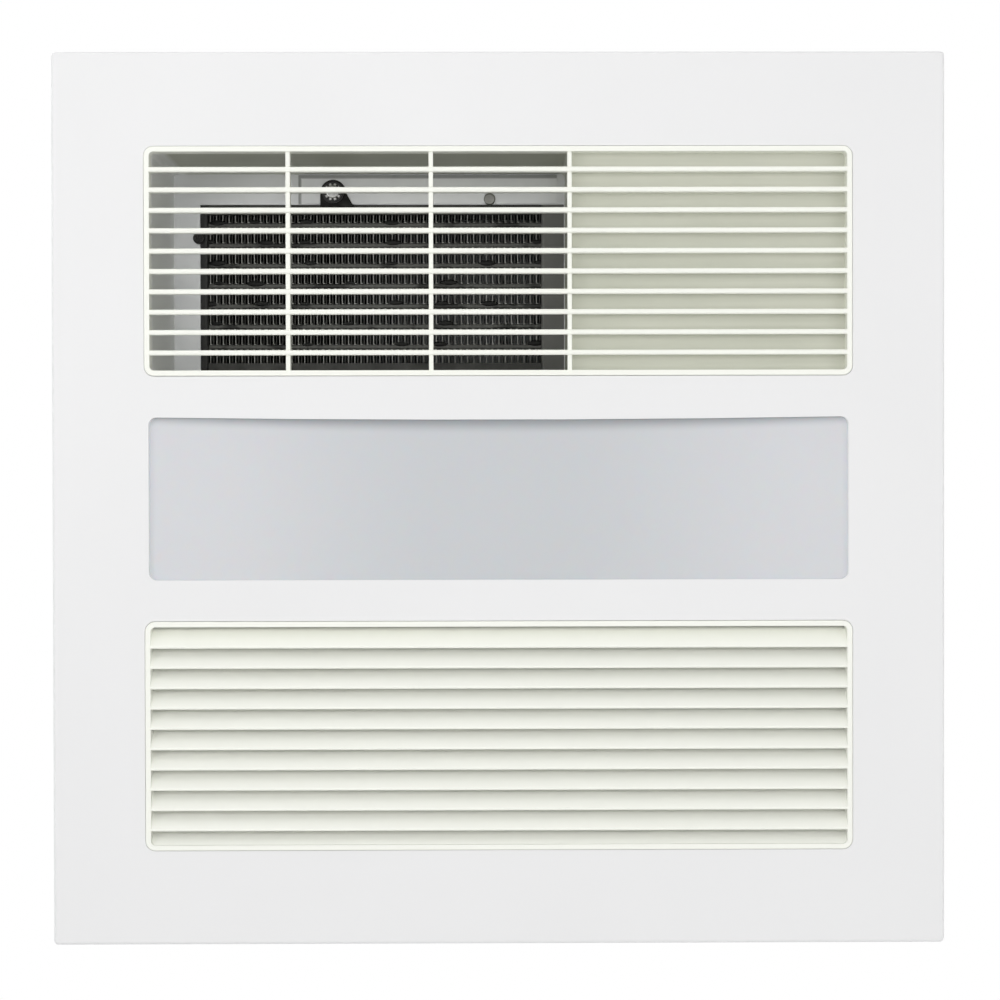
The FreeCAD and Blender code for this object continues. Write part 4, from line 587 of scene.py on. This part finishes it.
# foamed rubber, die cut: black, open and without any gloss
tree, shader, place = blank_finish("foam_rubber", {"IOR": 1.5, "Specular IOR Level": 0.2})
pores = put(tree, "ShaderNodeTexVoronoi", {"Vector": place, "Scale": cells(pore_mm)})
shade = put(tree, "ShaderNodeMix", {0: pores.outputs["Distance"], 6: paint("#141414"),
                                    7: paint("#2A2A2A")}, data_type="RGBA")
gloss = put(tree, "ShaderNodeMapRange", {"Value": pores.outputs["Distance"], "To Min": 0.95,
                                         "To Max": 0.75})
bump = put(tree, "ShaderNodeBump", {"Height": pores.outputs["Distance"], "Distance": relief_mm * MM,
                                    "Strength": 1.0})
wire(tree, shader, shade, gloss, bump)
print("foam rubber with pores of", pore_mm, "mm")

# %% [markdown]
# The clamp strip on the mount plate is cut from aluminised sheet too. Along its upper edge and at its left
# end it is painted darker, a painted shade where the raised strip's edges face away from the light. A ramp
# down from the edge and one in from the end draw that dark line, and the greater of the two mixes it over
# the sheet.

# %% Clamp strip
shaded_end_mm = 1.7
shaded_edge_mm = 2.0
fade_mm = 0.7
strip_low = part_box("heater_clamp_strip")[0]
metal("strip_with_painted_shade", "#F6F7F7", "#EDEEEF", rough=0.38, mottle_mm=25.0, mark_mm=1.4,
      extra={"Metallic": 0.65})
tree = finishes["strip_with_painted_shade"].node_tree
shader = tree.nodes["Principled BSDF"]
coated = shader.inputs["Base Color"].links[0].from_socket
spot = put(tree, "ShaderNodeSeparateXYZ", {0: put(tree, "ShaderNodeTexCoord").outputs["Object"]})
# painted shade: a dark line along the strip's upper edge and at its left end
ramps = []
for axis, shade_mm in ((0, shaded_end_mm), (1, shaded_edge_mm)):
    shade_to = strip_low[axis] + shade_mm * MM
    shade_from = strip_low[axis] + (shade_mm - fade_mm) * MM
    ramps.append(put(tree, "ShaderNodeMapRange", {"Value": spot.outputs[axis], "From Min": shade_from,
                                                  "From Max": shade_to, "To Min": 1.0, "To Max": 0.0}))
painted_light_and_shade = put(tree, "ShaderNodeMath", {0: ramps[0].outputs[0], 1: ramps[1].outputs[0]}, operation="MAXIMUM")
shade = put(tree, "ShaderNodeMix", {0: painted_light_and_shade.outputs[0], 6: coated, 7: paint("#A9AAA9")}, data_type="RGBA")
tree.links.new(shade.outputs[2], shader.inputs["Base Color"])
print("clamp strip with", shaded_edge_mm, "mm of bare edge")

# %% [markdown]
# The small screws are all zinc plated. The screw at the heater's left end sits in shade and is painted
# nearly black, a painted shade. All the screws are one node, so a box around that screw picks it out: a
# compare node on each axis gives 1 inside the box, and their product mixes the two finishes.

# %% Small screws
screw_room_mm = 20
tarnish_mm = 5.0
black_to = cap_low.x + screw_room_mm * MM
# steel, zinc plated, with one screw painted nearly black as painted shade
tree, shader, place = blank_finish("small_screw_steel", {})
spot = put(tree, "ShaderNodeSeparateXYZ", {0: place})
left = put(tree, "ShaderNodeMath", {0: spot.outputs[0], 1: black_to}, operation="LESS_THAN")
front = put(tree, "ShaderNodeMath", {0: spot.outputs[1], 1: cap_high.y}, operation="LESS_THAN")
under = put(tree, "ShaderNodeMath", {0: spot.outputs[2], 1: cap_high.z}, operation="LESS_THAN")
both = put(tree, "ShaderNodeMath", {0: left.outputs[0], 1: front.outputs[0]}, operation="MULTIPLY")
black = put(tree, "ShaderNodeMath", {0: both.outputs[0], 1: under.outputs[0]}, operation="MULTIPLY")
tarnish = put(tree, "ShaderNodeTexNoise", {"Vector": place, "Scale": cells(tarnish_mm), "Detail": 4.0})
zinc = put(tree, "ShaderNodeMix", {0: tarnish.outputs[0], 6: paint("#B4B3AE"), 7: paint("#94948F")},
           data_type="RGBA")
# painted shade: the screw in the box is painted nearly black
shade = put(tree, "ShaderNodeMix", {0: black.outputs[0], 6: zinc.outputs[2], 7: paint("#262624")},
            data_type="RGBA")
shine = put(tree, "ShaderNodeMapRange", {"Value": black.outputs[0], "To Min": 1.0, "To Max": 0.2})
gloss = put(tree, "ShaderNodeMapRange", {"Value": tarnish.outputs[0], "To Min": 0.26, "To Max": 0.5})
tree.links.new(shine.outputs[0], shader.inputs["Metallic"])
wire(tree, shader, shade, gloss)
print("black screw left of", round(1000 * black_to, 1), "mm")

# %% [markdown]
# Two small things get a plain mottled finish: the silicone that sticks the tubes to the fins, and the
# metal of the spot welds.

# %% Silicone and weld metal


def mottled(name, constants, pale, deep, mottle_mm, smooth, rough):
    tree, shader, place = blank_finish(name, constants)
    mottle = put(tree, "ShaderNodeTexNoise", {"Vector": place, "Scale": cells(mottle_mm), "Detail": 3.0})
    shade = put(tree, "ShaderNodeMix", {0: mottle.outputs[0], 6: paint(pale), 7: paint(deep)},
                data_type="RGBA")
    gloss = put(tree, "ShaderNodeMapRange", {"Value": mottle.outputs[0], "To Min": smooth,
                                             "To Max": rough})
    wire(tree, shader, shade, gloss)


# silicone, squeezed out and cured: nearly black, with a soft gloss
mottled("cured_silicone", {"IOR": 1.43}, "#0E0E0D", "#1A1A19", mottle_mm=3.0, smooth=0.45, rough=0.6)
# steel, resistance welded: dull grey and blotched where the zinc was scorched
mottled("scorched_weld", {"Metallic": 0.7}, "#B4B3AE", "#8F8C86", mottle_mm=2.5, smooth=0.4, rough=0.65)
print(len(finishes), "finishes in all")

# %% [markdown]
# Three things repeat in rows and rings, so Geometry Nodes make them. A tree has named inputs for its
# sizes. The helper gives an empty object the tree, sets the inputs by their identifiers, takes the
# evaluated result as a plain mesh, drops the modifier, and lets the piece ride on its body. Dabs and welds
# both start as a ball 1 m across, which the tree squashes to size.

# %% Helpers for grown pieces
unit_ball = {"Radius": 0.5, "Subdivisions": 2}


def new_tree(name, inputs):
    tree = bpy.data.node_groups.new(name, "GeometryNodeTree")
    for label, kind in inputs.items():
        tree.interface.new_socket(name=label, in_out="INPUT", socket_type="NodeSocket" + kind)
    tree.interface.new_socket(name="Geometry", in_out="OUTPUT", socket_type="NodeSocketGeometry")
    return tree, put(tree, "NodeGroupInput").outputs


def end_tree(tree, shape, finish):
    real = put(tree, "GeometryNodeRealizeInstances", {0: shape})
    smooth = put(tree, "GeometryNodeSetShadeSmooth", {0: real.outputs[0]})
    coat = put(tree, "GeometryNodeSetMaterial", {0: smooth.outputs[0], "Material": finish})
    put(tree, "NodeGroupOutput", {0: coat.outputs[0]})


def grow(name, tree, values, body):
    made = bpy.data.objects.new(name, bpy.data.meshes.new(name + "_seed"))
    scene.collection.objects.link(made)
    modifier = made.modifiers.new("shape", "NODES")
    modifier.node_group = tree
    for item in tree.interface.items_tree:
        if item.in_out == "INPUT":
            modifier[item.identifier] = values[item.name]
    mesh = bpy.data.meshes.new_from_object(made.evaluated_get(bpy.context.evaluated_depsgraph_get()))
    made.modifiers.clear()
    made.data = mesh
    mesh.name = name
    # a grown mesh starts with one empty slot, so only the slot that the tree filled is kept
    finish = mesh.materials[-1]
    mesh.materials.clear()
    mesh.materials.append(finish)
    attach(made, body)
    print(name, len(mesh.polygons), "faces of", finish.name)


# %% [markdown]
# Each flat tube of the heater is stuck to its fins with a black silicone. It was put on in dabs about
# 22 mm apart, and where too much came out it stands dark beside the tube. A grid of points, one row per
# tube, carries the dabs; a random share of the points is left out and the rest are nudged, so that no two
# rows look alike.

# %% Sealant dabs
nudge = Vector((3.0, 0.4, 0.0)) * MM
least_girth = 0.7
most_girth = 1.2
tree, given = new_tree("sealant_dabs", {"Columns": "Int", "Rows": "Int", "Span": "Float", "Rise": "Float",
                                        "Middle": "Vector", "Length": "Float", "Width": "Float",
                                        "Height": "Float", "Left Out": "Float", "Seed": "Int"})
grid = put(tree, "GeometryNodeMeshGrid", {"Size X": given["Span"], "Size Y": given["Rise"],
                                          "Vertices X": given["Columns"], "Vertices Y": given["Rows"]})
spots = put(tree, "GeometryNodeMeshToPoints", {0: grid.outputs[0]})
chance = put(tree, "FunctionNodeRandomValue", {"Probability": given["Left Out"], "Seed": given["Seed"]},
             data_type="BOOLEAN")
fewer = put(tree, "GeometryNodeDeleteGeometry", {0: spots.outputs[0], 1: chance.outputs[3]},
            domain="POINT")
shift = put(tree, "FunctionNodeRandomValue", {0: -nudge, 1: nudge, "Seed": given["Seed"]},
            data_type="FLOAT_VECTOR")
moved = put(tree, "GeometryNodeSetPosition", {0: fewer.outputs[0], "Offset": shift.outputs[0]})
ball = put(tree, "GeometryNodeMeshIcoSphere", unit_ball)
shape = put(tree, "ShaderNodeCombineXYZ", {0: given["Length"], 1: given["Width"], 2: given["Height"]})
flat = put(tree, "GeometryNodeTransform", {0: ball.outputs[0], "Scale": shape.outputs[0]})
girth = put(tree, "FunctionNodeRandomValue", {2: least_girth, 3: most_girth, "Seed": given["Seed"]},
            data_type="FLOAT")
dabs = put(tree, "GeometryNodeInstanceOnPoints", {0: moved.outputs[0], "Instance": flat.outputs[0],
                                                  "Scale": girth.outputs[1]})
put_down = put(tree, "GeometryNodeTransform", {0: dabs.outputs[0], "Translation": given["Middle"]})
end_tree(tree, put_down.outputs[0], finishes["cured_silicone"])

tube_count = 7
tube_mm = 2.2
column_count = 8
column_mm = 22.2
sink_mm = 0.3
dab_length_mm = 8.2
dab_width_mm = 2.8
dab_height_mm = 1.4
tube_low, tube_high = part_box("heater_tubes")
rise = tube_high.y - tube_low.y - tube_mm * MM
dab_middle = Vector(((tube_low.x + tube_high.x) / 2,
                     (tube_low.y + tube_high.y - tube_mm * MM) / 2 - sink_mm * MM,
                     tube_low.z + sink_mm * MM))
grow("sealant_dabs", tree, {"Columns": column_count, "Rows": tube_count,
                            "Span": (column_count - 1) * column_mm * MM, "Rise": rise,
                            "Middle": dab_middle, "Length": dab_length_mm * MM,
                            "Width": dab_width_mm * MM, "Height": dab_height_mm * MM,
                            "Left Out": 0.42, "Seed": 4}, "housing")

# %% [markdown]
# The end panels of the housing lap round its corners and are spot welded there. Each weld is a flat
# nugget, 5 mm across. One line of points runs up each of the four laps, a step apart and a step above the
# ceiling, and a squashed ball on each point shows its outer half.

# %% Spot welds
tree, given = new_tree("spot_welds", {"Width": "Float", "Depth": "Float", "Foot": "Vector",
                                      "Step": "Vector", "Count": "Int", "Across": "Float",
                                      "Height": "Float"})
corners = put(tree, "GeometryNodeMeshGrid", {"Size X": given["Width"], "Size Y": given["Depth"],
                                             "Vertices X": 2, "Vertices Y": 2})
lap = put(tree, "GeometryNodeMeshLine", {"Count": given["Count"], "Start Location": given["Foot"],
                                         "Offset": given["Step"]})
laps = put(tree, "GeometryNodeInstanceOnPoints", {0: corners.outputs[0], "Instance": lap.outputs[0]})
spots = put(tree, "GeometryNodeRealizeInstances", {0: laps.outputs[0]})
ball = put(tree, "GeometryNodeMeshIcoSphere", unit_ball)
shape = put(tree, "ShaderNodeCombineXYZ", {0: given["Height"], 1: given["Across"], 2: given["Across"]})
nugget = put(tree, "GeometryNodeTransform", {0: ball.outputs[0], "Scale": shape.outputs[0]})
welds = put(tree, "GeometryNodeInstanceOnPoints", {0: spots.outputs[0], "Instance": nugget.outputs[0]})
end_tree(tree, welds.outputs[0], finishes["scorched_weld"])

lap_face_mm = 165.2
lap_line_mm = 157.4
weld_step = Vector((0, 0, 24 * MM))
weld_count = 7
weld_mm = 5.0
weld_height_mm = 0.6
grow("spot_welds", tree, {"Width": 2 * lap_face_mm * MM, "Depth": 2 * lap_line_mm * MM,
                          "Foot": weld_step, "Step": weld_step, "Count": weld_count,
                          "Across": weld_mm * MM, "Height": weld_height_mm * MM},
     "housing")

# %% [markdown]
# The cap of the cable gland is turned by hand, so it has grip ribs all round. A circle of points carries
# them, and each rib is a thin rod along the gland's axis, sunk half way into the cap.

# %% Grip ribs of the gland
quarter_turn = (0.0, math.pi / 2, 0.0)
tree, given = new_tree("gland_ribs", {"Count": "Int", "Radius": "Float", "Rib Length": "Float",
                                      "Rib Radius": "Float", "Middle": "Vector"})
ring = put(tree, "GeometryNodeMeshCircle", {"Vertices": given["Count"], "Radius": given["Radius"]})
rod = put(tree, "GeometryNodeMeshCylinder", {"Vertices": 10, "Radius": given["Rib Radius"],
                                             "Depth": given["Rib Length"]})
ribs = put(tree, "GeometryNodeInstanceOnPoints", {0: ring.outputs[0], "Instance": rod.outputs[0]})
lying = put(tree, "GeometryNodeTransform", {0: ribs.outputs[0], "Rotation": quarter_turn,
                                            "Translation": given["Middle"]})
end_tree(tree, lying.outputs[0], finishes["black_nylon"])

cap_radius_mm = 9.5
cap_middle_mm = 6.6
rib_count = 26
rib_length_mm = 6.6
rib_radius_mm = 0.5
gland_low, gland_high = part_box("cable_gland")
gland_middle = (gland_low + gland_high) / 2
rib_middle = Vector((gland_high.x - cap_middle_mm * MM, gland_middle.y, gland_middle.z))
grow("gland_ribs", tree, {"Count": rib_count, "Radius": cap_radius_mm * MM,
                          "Rib Length": rib_length_mm * MM, "Rib Radius": rib_radius_mm * MM,
                          "Middle": rib_middle}, "housing")

# %% [markdown]
# Now each piece gets its finish. The list goes from what the room sees to what the ceiling hides.

# %% Dress the pieces
dress = {
    "fascia_abs": ["fascia_panel"],
    "grille_abs": ["heater_outlet_grille", "intake_louvre"],
    "cream_polypropylene": ["outlet_blank_plate", "outlet_collar"],
    "opal_acrylic": ["light_diffuser"],
    "powder_coat": ["led_tray"],
    "lamp_board": ["led_board"],
    "white_nylon": ["fascia_studs", "stud_sockets", "led_connector", "flap_bushes", "duct_spigot",
                    "terminal_block"],
    "white_pbt": ["led_driver", "run_capacitor"],
    "galvanised_sheet": ["housing_roof", "housing_side_panels", "housing_end_panels", "partition_wall",
                         "cross_wall", "wiring_cover"],
    "aluminised_sheet": ["heater_mount_plate"],
    "strip_with_painted_shade": ["heater_clamp_strip"],
    "small_screw_steel": ["small_screws"],
    "zinc_plate": ["push_nuts", "case_screws", "scroll_standoffs", "motor_shaft", "wheel_nut",
                   "damper_pin", "flap_shaft"],
    "drawn_steel": ["motor_can", "motor_end_bell", "damper_motor"],
    "phosphated_steel": ["cutout_bracket"],
    "black_phenolic": ["thermal_cutout"],
    "bright_aluminium": ["cutout_cap"],
    "smeared_tubes": ["heater_tubes"],
    "varnished_fins": ["heater_fins"],
    "varnished_rails": ["heater_rails"],
    "turned_brass": ["heater_terminals", "earth_stud"],
    "glass_filled_pbt": ["heater_end_caps"],
    "grey_polypropylene": ["scroll_casing", "scroll_cover", "inlet_ring", "changeover_flap",
                           "backdraft_flap_left", "backdraft_flap_right"],
    "dipped_wheel_paint": ["wheel_back_plate", "wheel_blades", "wheel_end_ring"],
    "varnished_laminations": ["motor_stator", "motor_rotor"],
    "enamelled_copper": ["motor_windings"],
    "sintered_bronze": ["motor_bearings"],
    "foam_rubber": ["spigot_gasket"],
    "black_nylon": ["cable_gland", "gland_nut"],
}
dressed = set()
for finish, names in dress.items():
    for name in names:
        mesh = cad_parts[name].data
        mesh.materials.clear()
        mesh.materials.append(finishes[finish])
        dressed.add(name)
print("dressed", len(dressed), "left bare:", sorted(set(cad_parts) - dressed))
